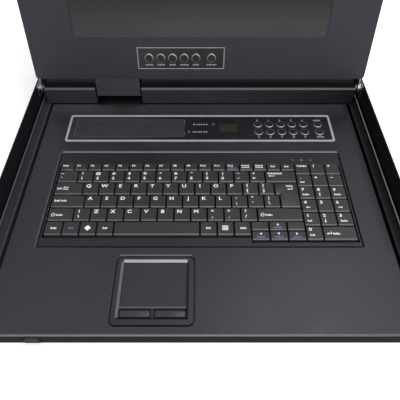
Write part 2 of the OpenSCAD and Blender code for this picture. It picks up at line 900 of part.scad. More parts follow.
function_cells = row_cells(ones(function_count), keys_x0, row_y(5), main_w/function_count,
    short_share*row_pitch);
space_cells = row_cells(space_shares, keys_x0, row_y(0));
shift_cells = row_cells(shift_shares, keys_x0, row_y(1));
caps_cells = row_cells(caps_shares, keys_x0, row_y(2));
tab_cells = row_cells(tab_shares, keys_x0, row_y(3));
number_cells = row_cells(number_shares, keys_x0, row_y(4));
arrow_cells = [for (n = [0, 1])
    each row_cells(ones(arrow_count), arrows_x0, keys_y + n*short_share*row_pitch,
        arrow_share*key_pitch, short_share*row_pitch)];
numpad_cells = concat(
    row_cells([1, numpad_count - 1], numpad_x0, keys_y, numpad_pitch),
    [for (n = [1:rows_share - 1])
        each row_cells(ones(numpad_count), numpad_x0, keys_y + n*row_pitch, numpad_pitch)]);
// The tall enter key: its wide upper half, then its narrow lower half
enter_x1 = numpad_x0 - key_gap/2;
enter_top_x0 = keys_x0 + total(tab_shares)*key_pitch + key_gap/2;
enter_low_x0 = keys_x0 + total(caps_shares)*key_pitch + key_gap/2;
enter_y0 = row_y(2) + row_gap - key_gap/2;
enter_y1 = row_y(4) - key_gap/2;
enter_mid_y = row_y(3) + row_gap - key_gap/2;
enter_cell = [enter_low_x0, row_y(2) + row_pitch/2, enter_x1 - enter_low_x0, row_pitch];

module at_cells(cells) {
    for (c = cells)
        translate([c[0] + key_gap/2, c[1] + row_gap - key_gap/2, key_foot])
            key(c[2] - key_gap, c[3] - row_gap);
}

module enter_key() {
    translate([0, 0, key_foot]) {
        translate([enter_low_x0, enter_y0, 0]) cap(enter_x1 - enter_low_x0, enter_y1 - enter_y0);
        translate([enter_top_x0, enter_mid_y, 0]) cap(enter_x1 - enter_top_x0, enter_y1 - enter_mid_y);
        stem(enter_cell[0] + enter_cell[2]/2, stem_y(enter_cell));
    }
}

module keys(cells) {
    color("#303338") in_drawer() at_cells(cells);
}

module caps_keys() {
    keys(caps_cells);
    color("#303338") in_drawer() enter_key();
}

module key_field(grow) {
    x0 = keys_x0 + key_gap/2 - grow;
    x1 = keys_x0 + keys_w - key_gap/2 + grow;
    y1 = keys_y1 - key_gap/2 + grow;
    translate([x0, space_y + key_gap/2 - grow]) square([x1 - x0, y1 - space_y - key_gap/2 + grow]);
    translate([arrows_x0 + key_gap/2 - grow, keys_y + key_gap/2 - grow])
        square([x1 - arrows_x0 - key_gap/2 + grow, y1 - keys_y - key_gap/2 + grow]);
}

module keyboard_lamp_places() {
    for (i = [0:lamp_count - 1]) translate([lamp_x + i*lamp_pitch, keys_y1 + lamp_back, 0]) children();
}

// Channel round a sunk part: its floor lies under the open seam and its rim meets the deck's underside
module seam_channel(w, d, r, x, y) {
    rim_top = deck_z - sheet;
    difference() {
        round_slab(w + 2*rim_w, d + 2*rim_w, r + rim_w, x, y, rim_top - rim_drop - sheet, rim_top);
        round_slab(w + 2*seam, d + 2*seam, r + seam, x, y, rim_top - rim_drop, rim_top + over);
    }
}

module keyboard_frame() {
    color("#1a1b1e") in_drawer() difference() {
        union() {
            round_slab(2*kb_x, kb_y1 - kb_y0, kb_corner, 0, (kb_y0 + kb_y1)/2, kb_floor, kb_top);
            seam_channel(2*kb_x, kb_y1 - kb_y0, kb_corner, 0, (kb_y0 + kb_y1)/2);
        }
        translate([0, 0, kb_floor - over]) linear_extrude(deck_z) key_field(kb_gap);
        keyboard_lamp_places() cylinder(r = lamp_r + fit, h = deck_z);
    }
}

module stem_hole(x, y) {
    translate([x, y]) square(stem_w + 2*fit, center = true);
}

module keyboard_plate() {
    all_cells = concat(function_cells, space_cells, shift_cells, caps_cells, tab_cells, number_cells,
        arrow_cells, numpad_cells, [enter_cell]);
    color("#6d7074") in_drawer() translate([0, 0, kb_floor - kb_floor_t])
        linear_extrude(kb_floor_t) difference() {
            translate([-kb_x, kb_y0]) square([2*kb_x, kb_y1 - kb_y0]);
            for (c = all_cells) stem_hole(c[0] + c[2]/2, stem_y(c));
        }
}

module keyboard_lamps() {
    color("#9fb3a0") in_drawer() keyboard_lamp_places()
        translate([0, 0, kb_floor]) cylinder(r = lamp_r, h = kb_top + lamp_proud - kb_floor);
}

// Touchpad

// Sloping recess, wider at the top
module well() {
    intersection() {
        along_y(well_y0 - over, well_y1 + over)
            polygon([[-well_w/2, pad_top], [-well_w/2 + well_h, pad_face], [well_w/2 - well_h, pad_face],
                [well_w/2, pad_top], [well_w/2, pad_top + over], [-well_w/2, pad_top + over]]);
        along_x(-well_w/2 - over, well_w/2 + over)
            polygon([[well_y0, pad_top], [well_y0 + well_h, pad_face], [well_y1 - well_h, pad_face],
                [well_y1, pad_top], [well_y1, pad_top + over], [well_y0, pad_top + over]]);
    }
}

module touchpad_bezel() {
    color("#232529") in_drawer() translate([-pad_x, 0, 0]) difference() {
        union() {
            round_slab(pad_w, pad_d, pad_corner, 0, pad_cy, pad_floor - pad_floor_t, pad_top);
            seam_channel(pad_w, pad_d, pad_corner, 0, pad_cy);
        }
        well();
        slab(-well_w/2 + well_h + pad_edge, well_w/2 - well_h - pad_edge, face_y0, face_y1,
            pad_face - face_t, pad_top);
        for (x = [-1, 1]) {
            slab(x*tap_offset - tap_w/2 - fit, x*tap_offset + tap_w/2 + fit, tap_y0 - fit, tap_y1 + fit,
                pad_floor, pad_top);
            disc(x*tap_offset, (tap_y0 + tap_y1)/2, tap_stem_r + fit, 0, deck_z);
        }
    }
}

module touchpad_surface() {
    color("#2a2c30") in_drawer()
        slab(-pad_x - well_w/2 + well_h + pad_edge + fit, -pad_x + well_w/2 - well_h - pad_edge - fit,
            face_y0 + fit, face_y1 - fit, pad_face - face_t, pad_face);
}

module touch_button(side) {
    color("#34363b") in_drawer() translate([-pad_x + side*tap_offset, 0, 0]) {
        slab(-tap_w/2, tap_w/2, tap_y0, tap_y1, tap_top - tap_t, tap_top);
        disc(0, (tap_y0 + tap_y1)/2, tap_stem_r, pad_floor - pad_floor_t, tap_top - tap_t);
    }
}

// Front latch: an arched push tab in the front face

module front_latch() {
    color("#4a4c50") in_drawer() {
        along_y(-latch_proud, sheet + fit) latch_outline(0);
        along_y(sheet + fit, sheet + fit + latch_flange_t) intersection() {
            latch_outline(latch_flange);
            translate([-hw, sheet + fit]) square([module_w, deck_z - 2*sheet - 2*fit]);
        }
        slab(latch_x - latch_w/4, latch_x + latch_w/4, sheet + fit + latch_flange_t,
            sheet + fit + latch_flange_t + latch_stem, sheet + fit, latch_z0 + latch_h/2);
    }
}

// Lid

module lid_cover() {
    color("#232528") in_lid() difference() {
        round_slab(lid_w, lid_d, lid_r, 0, lid_mid_y, lid_z0, lid_z1);
        round_slab(lid_w - 2*sheet, lid_d - 2*sheet, lid_r - sheet, 0, lid_mid_y,
            lid_z0 - over, lid_z1 - sheet);
        for (side = [-1, 1]) on_side(side)
            slab(arm_x0 - fit, lid_hw - sheet, lid_y1 - 2*sheet - lid_r, lid_y1 + over,
                axis_z - arm_low - fit, axis_z + arm_high + fit);
    }
}

module menu_places() {
    for (i = [0:menu_count - 1])
        translate([menu_x0 + menu_first + i*menu_pitch, menu_cy, 0]) children();
}

module menu_power_place() {
    translate([menu_x0 + menu_first + (menu_count - 1)*menu_pitch + menu_last_gap, menu_cy, 0])
        children();
}

module lid_bezel() {
    color("#26282c") in_lid() difference() {
        round_slab(lid_w - 2*sheet - 2*bezel_gap, lid_d - 2*sheet - 2*bezel_gap,
            lid_r - sheet - bezel_gap, 0, lid_mid_y, lid_z0, lid_z0 + bezel_t);
        slab(-screen_w/2, screen_w/2, screen_y0, screen_y1, lid_z0 - over, lid_z0 + bezel_t + over);
        slab(menu_x0 + menu_cut, menu_x0 + menu_w - menu_cut, menu_cy - menu_d/2 + menu_cut,
            menu_cy + menu_d/2 - menu_cut, lid_z0 - over, lid_z0 + bezel_t + over);
    }
}

module lcd_panel() {
    color("#0b0c0f") in_lid() {
        slab(-screen_w/2 - glass_lap, screen_w/2 + glass_lap, screen_y0 - glass_lap,
            screen_y1 + glass_lap, lid_z0 + bezel_t, lid_z0 + bezel_t + glass_t);
        slab(-screen_w/2 + fit, screen_w/2 - fit, screen_y0 + fit, screen_y1 - fit,
            lid_z0 + bezel_t - glass_bevel, lid_z0 + bezel_t);
    }
}

module lcd_boards() {
    color("#1f4d33") in_lid() {
        slab(-driver_w/2, driver_w/2, screen_y1 - driver_d, screen_y1, driver_z, driver_z + board_t);
        standoffs(-driver_w/2 + 2*post_r, driver_w/2 - 2*post_r, screen_y1 - driver_d + 2*post_r,
            screen_y1 - 2*post_r, driver_z - driver_lift, driver_z);
        slab(menu_x0 + menu_cut + fit, menu_x0 + menu_w - menu_cut - fit, menu_cy - menu_board_d/2,
            menu_cy + menu_board_d/2, menu_board_z, menu_board_z + board_t);
        for (x = [menu_x0 + 2*menu_cut, menu_x0 + menu_w - 2*menu_cut])
            disc(x, menu_cy, post_r/2, lid_z0, menu_board_z);
    }
}

module menu_plate() {
    color("#1d1f24") in_lid() difference() {
        slab(menu_x0, menu_x0 + menu_w, menu_cy - menu_d/2, menu_cy + menu_d/2,
            lid_z0 - menu_t, lid_z0);
        menu_places() translate([0, 0, lid_z0 - over]) cylinder(r = menu_r + fit, h = 2*over);
        menu_power_place() translate([0, 0, lid_z0 - over]) cylinder(r = menu_r + fit, h = 2*over);
    }
}

module menu_button() {
    translate([0, 0, lid_z0 - menu_t - menu_proud])
        cylinder(r = menu_r, h = menu_t + menu_proud + fit);
    translate([0, 0, lid_z0 + fit]) cylinder(r = menu_r + button_flange, h = button_flange_t);
    translate([0, 0, lid_z0 + fit + button_flange_t])
        cylinder(r = menu_r/2, h = menu_board_z - lid_z0 - 2*fit - button_flange_t - menu_travel);
}

module menu_buttons() {
    color("#2c2e33") in_lid() menu_places() menu_button();
}

module menu_power_button() {
    color("#2c2e33") in_lid() menu_power_place() menu_button();
}

module cable_cover() {
    color("#26282c") in_lid() {
        slab(-tongue_x - tongue_w/2, -tongue_x + tongue_w/2, lid_y1, lid_y1 + tongue_l,
            lid_z0, lid_z0 + tongue_t);
        slab(-tongue_x - tongue_w/2, -tongue_x + tongue_w/2, lid_y1, lid_y1 + tongue_t,
            lid_z0 + tongue_t, lid_z0 + tongue_flange);
    }
}

// Hinges

module hinge_arm(side) {
    color("#aeb2b6") in_lid() on_side(side) difference() {
        union() {
            rod_x(arm_x0, arm_x1, axis_y, axis_z, arm_r);
            slab(arm_x0, arm_x1, lid_y1 - arm_in, axis_y, axis_z - arm_low, axis_z + arm_high);
        }
        rod_x(arm_x0 - over, arm_x1 + over, axis_y, axis_z, pin_r + pin_gap);
    }
}

// Fixed plate on the drawer's wall with its pin, spacer and nut
module hinge_bracket(side) {
    color("#aeb2b6") in_drawer() on_side(side) difference() {
        union() {
            slab(bracket_x, wall_in, bracket_y0, bracket_y1, axis_z - bracket_low, axis_z + bracket_high);
            rod_x(arm_x1 + arm_gap, bracket_x, axis_y, axis_z, spacer_r);
            rod_x(arm_x0 - arm_gap - nut_t, bracket_x, axis_y, axis_z, pin_r);
            translate([arm_x0 - arm_gap - nut_t, axis_y, axis_z]) rotate([0, 90, 0])
                cylinder(r = nut_r, h = nut_t, $fn = nut_sides);
        }
        hinge_screw_places() rod_x(bracket_x - over, wall_in + over, 0, 0, screw_r + screw_gap);
    }
}

module hinge_screw_places() {
    for (z = [-bracket_low + 2*screw_r, bracket_high - 2*screw_r])
        translate([0, bracket_y1 - 2*screw_r, axis_z + z]) children();
}

module hinge_screws() {
    color("#c8cbce") in_drawer() for (side = [-1, 1]) on_side(side) hinge_screw_places() {
        rod_x(bracket_x, wall_in, 0, 0, screw_r);
        rod_x(bracket_x - head_t, bracket_x, 0, 0, head_r);
    }
}

// Slides: three nested sections, each held by the lips of the next

module lipped_profile(x0, x1, hz) {
    difference() {
        translate([x0, -hz]) square([x1 - x0, 2*hz]);
        translate([x0 - over, -hz + slide_sheet + lip_depth])
            square([slide_sheet + 2*over, 2*(hz - slide_sheet - lip_depth)]);
        translate([x0 + slide_sheet, -hz + slide_sheet])
            square([x1 - x0 - 2*slide_sheet, 2*(hz - slide_sheet)]);
    }
}

module inner_profile() {
    translate([0, -inner_neck]) square([slide_sheet, 2*inner_neck]);
    for (m = [0, 1]) mirror([0, m]) {
        translate([0, inner_neck - slide_sheet]) square([inner_x1, slide_sheet]);
        translate([inner_foot_x, inner_neck - slide_sheet])
            square([inner_x1 - inner_foot_x, inner_hz - inner_neck + slide_sheet]);
    }
}

module at_slide(side, y) {
    on_side(side) translate([hw, y, slide_z]) children();
}

module web_holes(y) {
    for (i = [0, 1])
        rod_x(outer_x1 - slide_sheet - over, outer_x1 + ear_t + over, y + i*screw_span, 0, screw_r + screw_gap);
}

front_screw_y = screw_inset;
rear_screw_y = slide_start + slide_l - rear_lap + screw_inset;

module outer_rail(side) {
    color("#7d8084") at_slide(side, 0) difference() {
        along_y(slide_start, slide_start + slide_l) lipped_profile(outer_x0, outer_x1, outer_hz);
        web_holes(front_screw_y);
        web_holes(rear_screw_y);
    }
}

module middle_rail(side) {
    color("#8b8e92") at_slide(side, slide_start - travel/2)
        along_y(0, slide_l) lipped_profile(mid_x0, mid_x1, mid_hz);
}

module inner_rail(side) {
    color("#9a9da1") at_slide(side, drawer_y + slide_short)
        along_y(0, slide_l) inner_profile();
}

// Brackets that carry the slides between the posts

module ear_slots(y0, y1) {
    for (z = [-1, 1]) translate([rack_holes_x/2, 0, z*rack_holes_z/2]) {
        for (x = [-1, 1])
            translate([x*(ear_slot_l/2 - ear_slot_r), y0 - over, 0])
                rotate([-90, 0, 0]) cylinder(r = ear_slot_r, h = y1 - y0 + 2*over);
        slab(-ear_slot_l/2 + ear_slot_r, ear_slot_l/2 - ear_slot_r, y0 - over, y1 + over,
            -ear_slot_r, ear_slot_r);
    }
}

module ear(y0, y1) {
    difference() {
        union() {
            slab(web_x, ear_hw - ear_r, y0, y1, -ear_h/2, ear_h/2);
            slab(ear_hw - ear_r - over, ear_hw, y0, y1, -ear_h/2 + ear_r, ear_h/2 - ear_r);
            for (z = [-1, 1])
                translate([ear_hw - ear_r, y0, z*(ear_h/2 - ear_r)]) rotate([-90, 0, 0])
                    cylinder(r = ear_r, h = y1 - y0);
        }
        ear_slots(y0, y1);
    }
}

module front_bracket(side) {
    color("#202124") on_side(side) difference() {
        union() {
            ear(-ear_t, 0);
            slab(web_x, web_x + ear_t, -ear_t, front_web, rear_web_low, rear_web_high);
        }
        translate([hw, 0, slide_z]) web_holes(front_screw_y);
    }
}

module rear_bracket(side) {
    color("#202124") on_side(side) difference() {
        union() {
            ear(rack_d, rack_d + ear_t);
            slab(web_x, web_x + ear_t, slide_start + slide_l - rear_lap, rack_d + ear_t,
                rear_web_low, rear_web_high);
        }
        translate([hw, 0, slide_z]) web_holes(rear_screw_y);
    }
}

module bracket_screws() {
    color("#c8cbce") for (side = [-1, 1], y = [front_screw_y, rear_screw_y], i = [0, 1])
        at_slide(side, y + i*screw_span) {
            rod_x(outer_x1 - slide_sheet, outer_x1 + ear_t, 0, 0, screw_r);
            rod_x(outer_x1 + ear_t, outer_x1 + ear_t + head_t, 0, 0, head_r);
        }
}

outer_rail(-1);  // left_outer_rail
outer_rail(1);  // right_outer_rail
front_bracket(-1);  // left_front_bracket
front_bracket(1);  // right_front_bracket
rear_bracket(-1);  // left_rear_bracket
rear_bracket(1);  // right_rear_bracket
bracket_screws();
middle_rail(-1);  // left_middle_rail
middle_rail(1);  // right_middle_rail
inner_rail(-1);  // left_inner_rail
inner_rail(1);  // right_inner_rail
base_tray();
deck_plate();
side_ledge(-1);  // left_side_ledge
side_ledge(1);  // right_side_ledge
rear_cover();
rear_panel();
switch_board();
computer_ports();
console_ports();
power_inlet();
power_supply();
panel_border();
panel_plate();
panel_board();
digit_display();
panel_lamps();
keyboard_frame();
keyboard_plate();
keyboard_lamps();
touchpad_bezel();
touchpad_surface();
hinge_bracket(-1);  // left_hinge_bracket
hinge_bracket(1);  // right_hinge_bracket
hinge_screws();
lid_cover();
lid_bezel();
lcd_panel();
lcd_boards();
menu_plate();
cable_cover();
hinge_arm(-1);  // left_hinge_arm
hinge_arm(1);  // right_hinge_arm
touch_button(-1);  // left_touch_button
touch_button(1);  // right_touch_button
front_latch();
digit_buttons(row_up_y);  // upper_digit_buttons
digit_buttons(row_low_y);  // lower_digit_buttons
command_button(row_up_y);  // upper_command_button
command_button(row_low_y);  // lower_command_button
menu_buttons();
menu_power_button();
keys(function_cells);  // function_keys
keys(number_cells);  // number_keys
keys(tab_cells);  // tab_keys
caps_keys();
keys(shift_cells);  // shift_keys
keys(space_cells);  // space_keys
keys(arrow_cells);  // arrow_keys
keys(numpad_cells);  // numpad_keys
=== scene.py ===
"""Looks of the rack console drawer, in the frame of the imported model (metres)."""
import math

import bmesh
import bpy
from mathutils import Matrix, Vector


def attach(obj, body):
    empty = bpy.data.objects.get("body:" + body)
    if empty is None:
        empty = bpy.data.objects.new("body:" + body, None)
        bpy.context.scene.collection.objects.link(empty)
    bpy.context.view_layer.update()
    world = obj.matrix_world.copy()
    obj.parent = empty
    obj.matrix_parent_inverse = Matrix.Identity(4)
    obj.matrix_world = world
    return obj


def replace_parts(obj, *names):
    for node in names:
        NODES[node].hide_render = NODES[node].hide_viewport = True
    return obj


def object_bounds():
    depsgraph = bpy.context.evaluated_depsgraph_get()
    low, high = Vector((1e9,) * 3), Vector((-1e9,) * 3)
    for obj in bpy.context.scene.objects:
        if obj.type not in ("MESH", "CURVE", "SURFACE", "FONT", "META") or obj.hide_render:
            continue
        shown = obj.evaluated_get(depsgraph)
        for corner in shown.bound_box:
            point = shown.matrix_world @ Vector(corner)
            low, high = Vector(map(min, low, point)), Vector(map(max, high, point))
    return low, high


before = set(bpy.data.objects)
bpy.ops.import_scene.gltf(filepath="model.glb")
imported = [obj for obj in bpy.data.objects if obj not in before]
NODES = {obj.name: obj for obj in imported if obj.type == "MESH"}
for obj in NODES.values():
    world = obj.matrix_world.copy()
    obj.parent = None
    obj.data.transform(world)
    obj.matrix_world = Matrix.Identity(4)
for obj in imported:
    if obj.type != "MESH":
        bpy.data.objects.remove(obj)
CAD_LO, CAD_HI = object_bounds()
MM = 0.001

# The drawer frame, in millimetres: y from the drawer's front edge, z from its underside
FRONT_Y, UNDER_Z = -408.0, -21.0
DECK_TOP = 17.0
HINGE_Y, HINGE_Z = 331.2, 33.9
LID_ANGLE = 102
HINGE = Vector((0, HINGE_Y + FRONT_Y, HINGE_Z + UNDER_Z)) * MM
LID_TURN = (Matrix.Translation(HINGE) @ Matrix.Rotation(math.radians(-LID_ANGLE), 4, "X")
            @ Matrix.Translation(-HINGE))


def at(x, y, z):
    """A point of the drawer frame."""
    return Vector((x, y + FRONT_Y, z + UNDER_Z)) * MM


def lid(x, y, z):
    """A point of the closed lid, given in the drawer frame, carried to the open lid."""
    return LID_TURN @ at(x, y, z)


# Camera and light

# Lens and sensor (millimetres), nearest and farthest that is seen (metres), place and dip of the camera
LENS, SENSOR = 39.15, 36
CLIP_NEAR, CLIP_FAR = 0.02, 30
CAMERA_Y, CAMERA_RISE = -146.0, 374.7
CAMERA_DIP = 51.4
SKY_COLOUR, SKY_STRENGTH = (0.93, 0.96, 1.0), 0.42
# Name, place, target, size (metres) and power (watts)
LIGHTS = (("top", (0.5, -0.2, 1.35), (0.05, -0.3, 0), (1.3, 0.7), 11),
          ("front", (0.3, -1.7, 0.95), (0, -0.2, 0), (1.4, 0.6), 18))


def make_camera():
    """The photo's camera: CAMERA_RISE above the deck, CAMERA_DIP degrees below the horizon."""
    data = bpy.data.cameras.new("camera")
    data.sensor_width = SENSOR
    data.lens = LENS
    data.clip_start = CLIP_NEAR
    data.clip_end = CLIP_FAR
    obj = bpy.data.objects.new("camera", data)
    bpy.context.scene.collection.objects.link(obj)
    obj.location = at(0, CAMERA_Y, DECK_TOP + CAMERA_RISE)
    obj.rotation_euler = (math.radians(90 - CAMERA_DIP), 0, 0)
    bpy.context.scene.camera = obj


def area_light(name, place, target, size, power):
    data = bpy.data.lights.new(name, "AREA")
    data.shape = "RECTANGLE"
    data.size, data.size_y = size
    data.energy = power
    obj = bpy.data.objects.new(name, data)
    bpy.context.scene.collection.objects.link(obj)
    obj.location = place
    obj.rotation_mode = "QUATERNION"
    obj.rotation_quaternion = (Vector(target) - obj.location).to_track_quat("-Z", "Y")


def background_rays(tree):
    """1 for the rays that show the background: camera, glossy and transmission rays."""
    path = tree.nodes.new("ShaderNodeLightPath")
    found = path.outputs["Is Camera Ray"]
    for kind in ("Is Glossy Ray", "Is Transmission Ray"):
        either = tree.nodes.new("ShaderNodeMath")
        either.operation = "MAXIMUM"
        tree.links.new(found, either.inputs[0])
        tree.links.new(path.outputs[kind], either.inputs[1])
        found = either.outputs[0]
    return found


def make_world():
    """A white background that lights the object less than it shows."""
    world = bpy.data.worlds.new("studio")
    bpy.context.scene.world = world
    world.use_nodes = True
    nt = world.node_tree
    nt.nodes.clear()
    out = nt.nodes.new("ShaderNodeOutputWorld")
    soft = nt.nodes.new("ShaderNodeBackground")
    soft.inputs["Color"].default_value = (*SKY_COLOUR, 1)
    soft.inputs["Strength"].default_value = SKY_STRENGTH
    white = nt.nodes.new("ShaderNodeBackground")
    white.inputs["Strength"].default_value = 1.0
    mix = nt.nodes.new("ShaderNodeMixShader")
    nt.links.new(background_rays(nt), mix.inputs[0])
    nt.links.new(soft.outputs[0], mix.inputs[1])
    nt.links.new(white.outputs[0], mix.inputs[2])
    nt.links.new(mix.outputs[0], out.inputs[0])


# Materials

# Sockets of the mix node for colours
MIX_FACTOR, MIX_A, MIX_B, MIX_RESULT = 0, 6, 7, 2
# How well rounded and flat normals agree (1 is fully) where an edge's mask begins and where it is full
FLAT_DOT, EDGE_DOT = 0.985, 0.80
EDGE_SAMPLES = 4


class Shader:
    """A Principled material with object-space textures."""

    def __init__(self, name, rough, metal=0.0, spec=0.5):
        self.mat = bpy.data.materials.new(name)
        self.mat.use_nodes = True
        self.nt = self.mat.node_tree
        self.nt.nodes.clear()
        self.out = self.add("ShaderNodeOutputMaterial")
        self.bsdf = self.add("ShaderNodeBsdfPrincipled")
        self.bsdf.inputs["Roughness"].default_value = rough
        self.bsdf.inputs["Metallic"].default_value = metal
        self.bsdf.inputs["Specular IOR Level"].default_value = spec
        self.link(self.bsdf.outputs[0], self.out.inputs[0])
        self.coord = self.add("ShaderNodeTexCoord").outputs["Object"]

    def add(self, kind, **settings):
        node = self.nt.nodes.new(kind)
        for key, value in settings.items():
            setattr(node, key, value)
        return node

    def link(self, a, b):
        self.nt.links.new(a, b)

    def put(self, node, socket, value):
        """Gives a socket an output of another node, a colour or a number."""
        if hasattr(value, "is_output"):
            self.link(value, node.inputs[socket])
        else:
            node.inputs[socket].default_value = (*value, 1) if isinstance(value, tuple) else value

    def noise(self, scale, detail, stretch=None):
        node = self.add("ShaderNodeTexNoise")
        node.inputs["Scale"].default_value = scale
        node.inputs["Detail"].default_value = detail
        source = self.coord
        if stretch:
            squeeze = self.add("ShaderNodeMapping")
            squeeze.inputs["Scale"].default_value = stretch
            self.link(source, squeeze.inputs["Vector"])
            source = squeeze.outputs[0]
        self.link(source, node.inputs["Vector"])
        return node.outputs["Fac"]

    def mix(self, fac, a, b):
        node = self.add("ShaderNodeMix", data_type="RGBA")
        for socket, value in ((MIX_FACTOR, fac), (MIX_A, a), (MIX_B, b)):
            self.put(node, socket, value)
        return node.outputs[MIX_RESULT]

    def span(self, fac, low, high, to_low=0.0, to_high=1.0):
        """Maps low to high onto to_low to to_high, and no further."""
        node = self.add("ShaderNodeMapRange")
        node.clamp = True
        sockets = {"Value": fac, "From Min": low, "From Max": high, "To Min": to_low, "To Max": to_high}
        for socket, value in sockets.items():
            self.put(node, socket, value)
        return node.outputs["Result"]

    def combine(self, operation, a, b):
        node = self.add("ShaderNodeMath", operation=operation)
        for socket, value in enumerate((a, b)):
            self.put(node, socket, value)
        return node.outputs[0]

    def product(self, a, b):
        return self.combine("MULTIPLY", a, b)

    def zone(self, soft, limits):
        """1 inside a box of the drawer frame with soft sides, 0 outside.

        The axis w is the distance from the middle of the drawer.
        """
        apart = self.add("ShaderNodeSeparateXYZ")
        self.link(self.coord, apart.inputs[0])
        found = None
        for axis, span in limits.items():
            source = apart.outputs["X" if axis == "w" else axis.upper()]
            if axis == "w":
                away = self.add("ShaderNodeMath", operation="ABSOLUTE")
                self.link(source, away.inputs[0])
                source = away.outputs[0]
            for edge, (low, high) in zip(span, ((0, 1), (1, 0))):
                place = edge + {"y": FRONT_Y, "z": UNDER_Z}.get(axis, 0)
                side = self.span(source, (place - soft) * MM, (place + soft) * MM, low, high)
                found = side if found is None else self.product(found, side)
        return found

    def tinted(self, base, painted_light):
        """The base colour with other colours in a few zones, which paint light and shade on it."""
        for colour, soft, limits in painted_light:
            base = self.mix(self.zone(soft, limits), base, colour)
        return base

    def relief(self, height, depth, strength, normal=None):
        node = self.add("ShaderNodeBump")
        node.inputs["Distance"].default_value = depth
        node.inputs["Strength"].default_value = strength
        self.link(height, node.inputs["Height"])
        if normal is not None:
            self.link(normal, node.inputs["Normal"])
        return node.outputs[0]

    def soft_edges(self, radius):
        """Rounded normals at the edges, and a mask that is 1 on them."""
        bevel = self.add("ShaderNodeBevel")
        bevel.samples = EDGE_SAMPLES
        bevel.inputs["Radius"].default_value = radius
        flat = self.add("ShaderNodeNewGeometry").outputs["Normal"]
        dot = self.add("ShaderNodeVectorMath", operation="DOT_PRODUCT")
        self.link(bevel.outputs[0], dot.inputs[0])
        self.link(flat, dot.inputs[1])
        return bevel.outputs[0], self.span(dot.outputs["Value"], FLAT_DOT, EDGE_DOT)

    def finish(self, colour, rough=None, normal=None):
        self.link(colour, self.bsdf.inputs["Base Color"])
        if rough is not None:
            self.link(rough, self.bsdf.inputs["Roughness"])
        if normal is not None:
            self.link(normal, self.bsdf.inputs["Normal"])
        return self.mat


def shade(colour, k):
    return tuple(c * k for c in colour)


def srgb(r, g, b):
    """Linear colour from 0-255 screen values."""
    return tuple(c / 255 / 12.92 if c < 10.3 else ((c / 255 + 0.055) / 1.055) ** 2.4 for c in (r, g, b))


def coated_steel(name, colour, rough, spec, matte_front=False, painted_light=()):
    """Powder coat: fine orange peel, faint cloudiness, edges a little lighter in patches, partly rubbed wear
    and partly a painted highlight.
    """
    s = Shader(name, rough, spec=spec)
    peel = s.noise(scale=1500, detail=3)
    cloud = s.noise(scale=22, detail=3)
    speck = s.noise(scale=620, detail=1)
    wear_and_highlight = s.noise(scale=90, detail=3)
    normal, edges = s.soft_edges(0.5 * MM)
    base = s.mix(s.span(cloud, 0.3, 0.7), shade(colour, 0.93), shade(colour, 1.07))
    base = s.mix(s.span(speck, 0.5, 0.72, to_high=0.8), base, shade(colour, 1.42))
    # Edges lighter in patches: partly rubbed wear, partly a painted highlight
    base = s.mix(s.product(edges, s.span(wear_and_highlight, 0.35, 0.7, to_low=0.35)), base, shade(colour, 1.6))
    base = s.tinted(base, painted_light)
    gloss = s.span(cloud, 0.25, 0.75, rough - 0.04, rough + 0.05)
    if matte_front:
        gloss = s.combine("MAXIMUM", s.product(s.zone(0.2, {"y": (-FAR, 0.3)}), 0.95), gloss)
    return s.finish(base, gloss, s.relief(peel, 0.05 * MM, 0.55, normal))


def moulded(name, colour, rough, spec, grain=0.02, edge=0.3, edge_highlight=1.25, painted_light=()):
    """Moulded plastic: very fine grain and edges painted lighter as a highlight; grain and the edges' radius
    are given in millimetres.
    """
    s = Shader(name, rough, spec=spec)
    fine = s.noise(scale=2600, detail=2)
    cloud = s.noise(scale=45, detail=2)
    normal, edges = s.soft_edges(edge * MM)
    base = s.mix(s.span(cloud, 0.3, 0.7), shade(colour, 0.95), shade(colour, 1.06))
    base = s.tinted(s.mix(edges, base, shade(colour, edge_highlight)), painted_light)
    gloss = s.span(cloud, 0.25, 0.75, rough - 0.05, rough + 0.04)
    return s.finish(base, gloss, s.relief(fine, grain * MM, 0.5, normal))


def plated(name, colour, rough, stretch=(1, 1, 1)):
    """Plated steel, with drawing lines along the axis that is stretched."""
    s = Shader(name, rough, metal=1.0)
    lines = s.noise(scale=900, detail=3, stretch=stretch)
    cloud = s.noise(scale=30, detail=3)
    normal, _ = s.soft_edges(0.3 * MM)
    base = s.mix(s.span(cloud, 0.3, 0.7), shade(colour, 0.88), shade(colour, 1.06))
    base = s.mix(s.span(lines, 0.35, 0.65, to_high=0.5), base, shade(colour, 1.12))
    gloss = s.span(lines, 0.3, 0.7, rough - 0.07, rough + 0.08)
    return s.finish(base, gloss, s.relief(lines, 0.01 * MM, 0.4, normal))


def ink(name, colour):
    """Printed or sprayed ink that covers a little unevenly."""
    s = Shader(name, rough=0.55)
    cover = s.noise(scale=1800, detail=2)
    return s.finish(s.mix(s.span(cover, 0.35, 0.65), shade(colour, 0.9), colour))


def circuit(name, colour):
    """Solder mask with a net of tracks under it."""
    s = Shader(name, rough=0.35)
    cells = s.add("ShaderNodeTexVoronoi", feature="DISTANCE_TO_EDGE", distance="CHEBYCHEV")
    cells.inputs["Scale"].default_value = 260
    s.link(s.coord, cells.inputs["Vector"])
    tracks = s.span(cells.outputs["Distance"], 0.05, 0.09, to_low=1, to_high=0)
    return s.finish(s.mix(tracks, colour, shade(colour, 1.9)), None, s.relief(tracks, 0.03 * MM, 0.4))


def glass(name, colour, rough):
    """Coated front glass: faint haze and dust on a dark body."""
    s = Shader(name, rough)
    dust = s.noise(scale=700, detail=4)
    haze = s.noise(scale=9, detail=2)
    base = s.mix(s.span(dust, 0.62, 0.75, to_high=0.25), colour, shade(colour, 4))
    return s.finish(base, s.span(haze, 0.3, 0.7, rough, rough + 0.07))


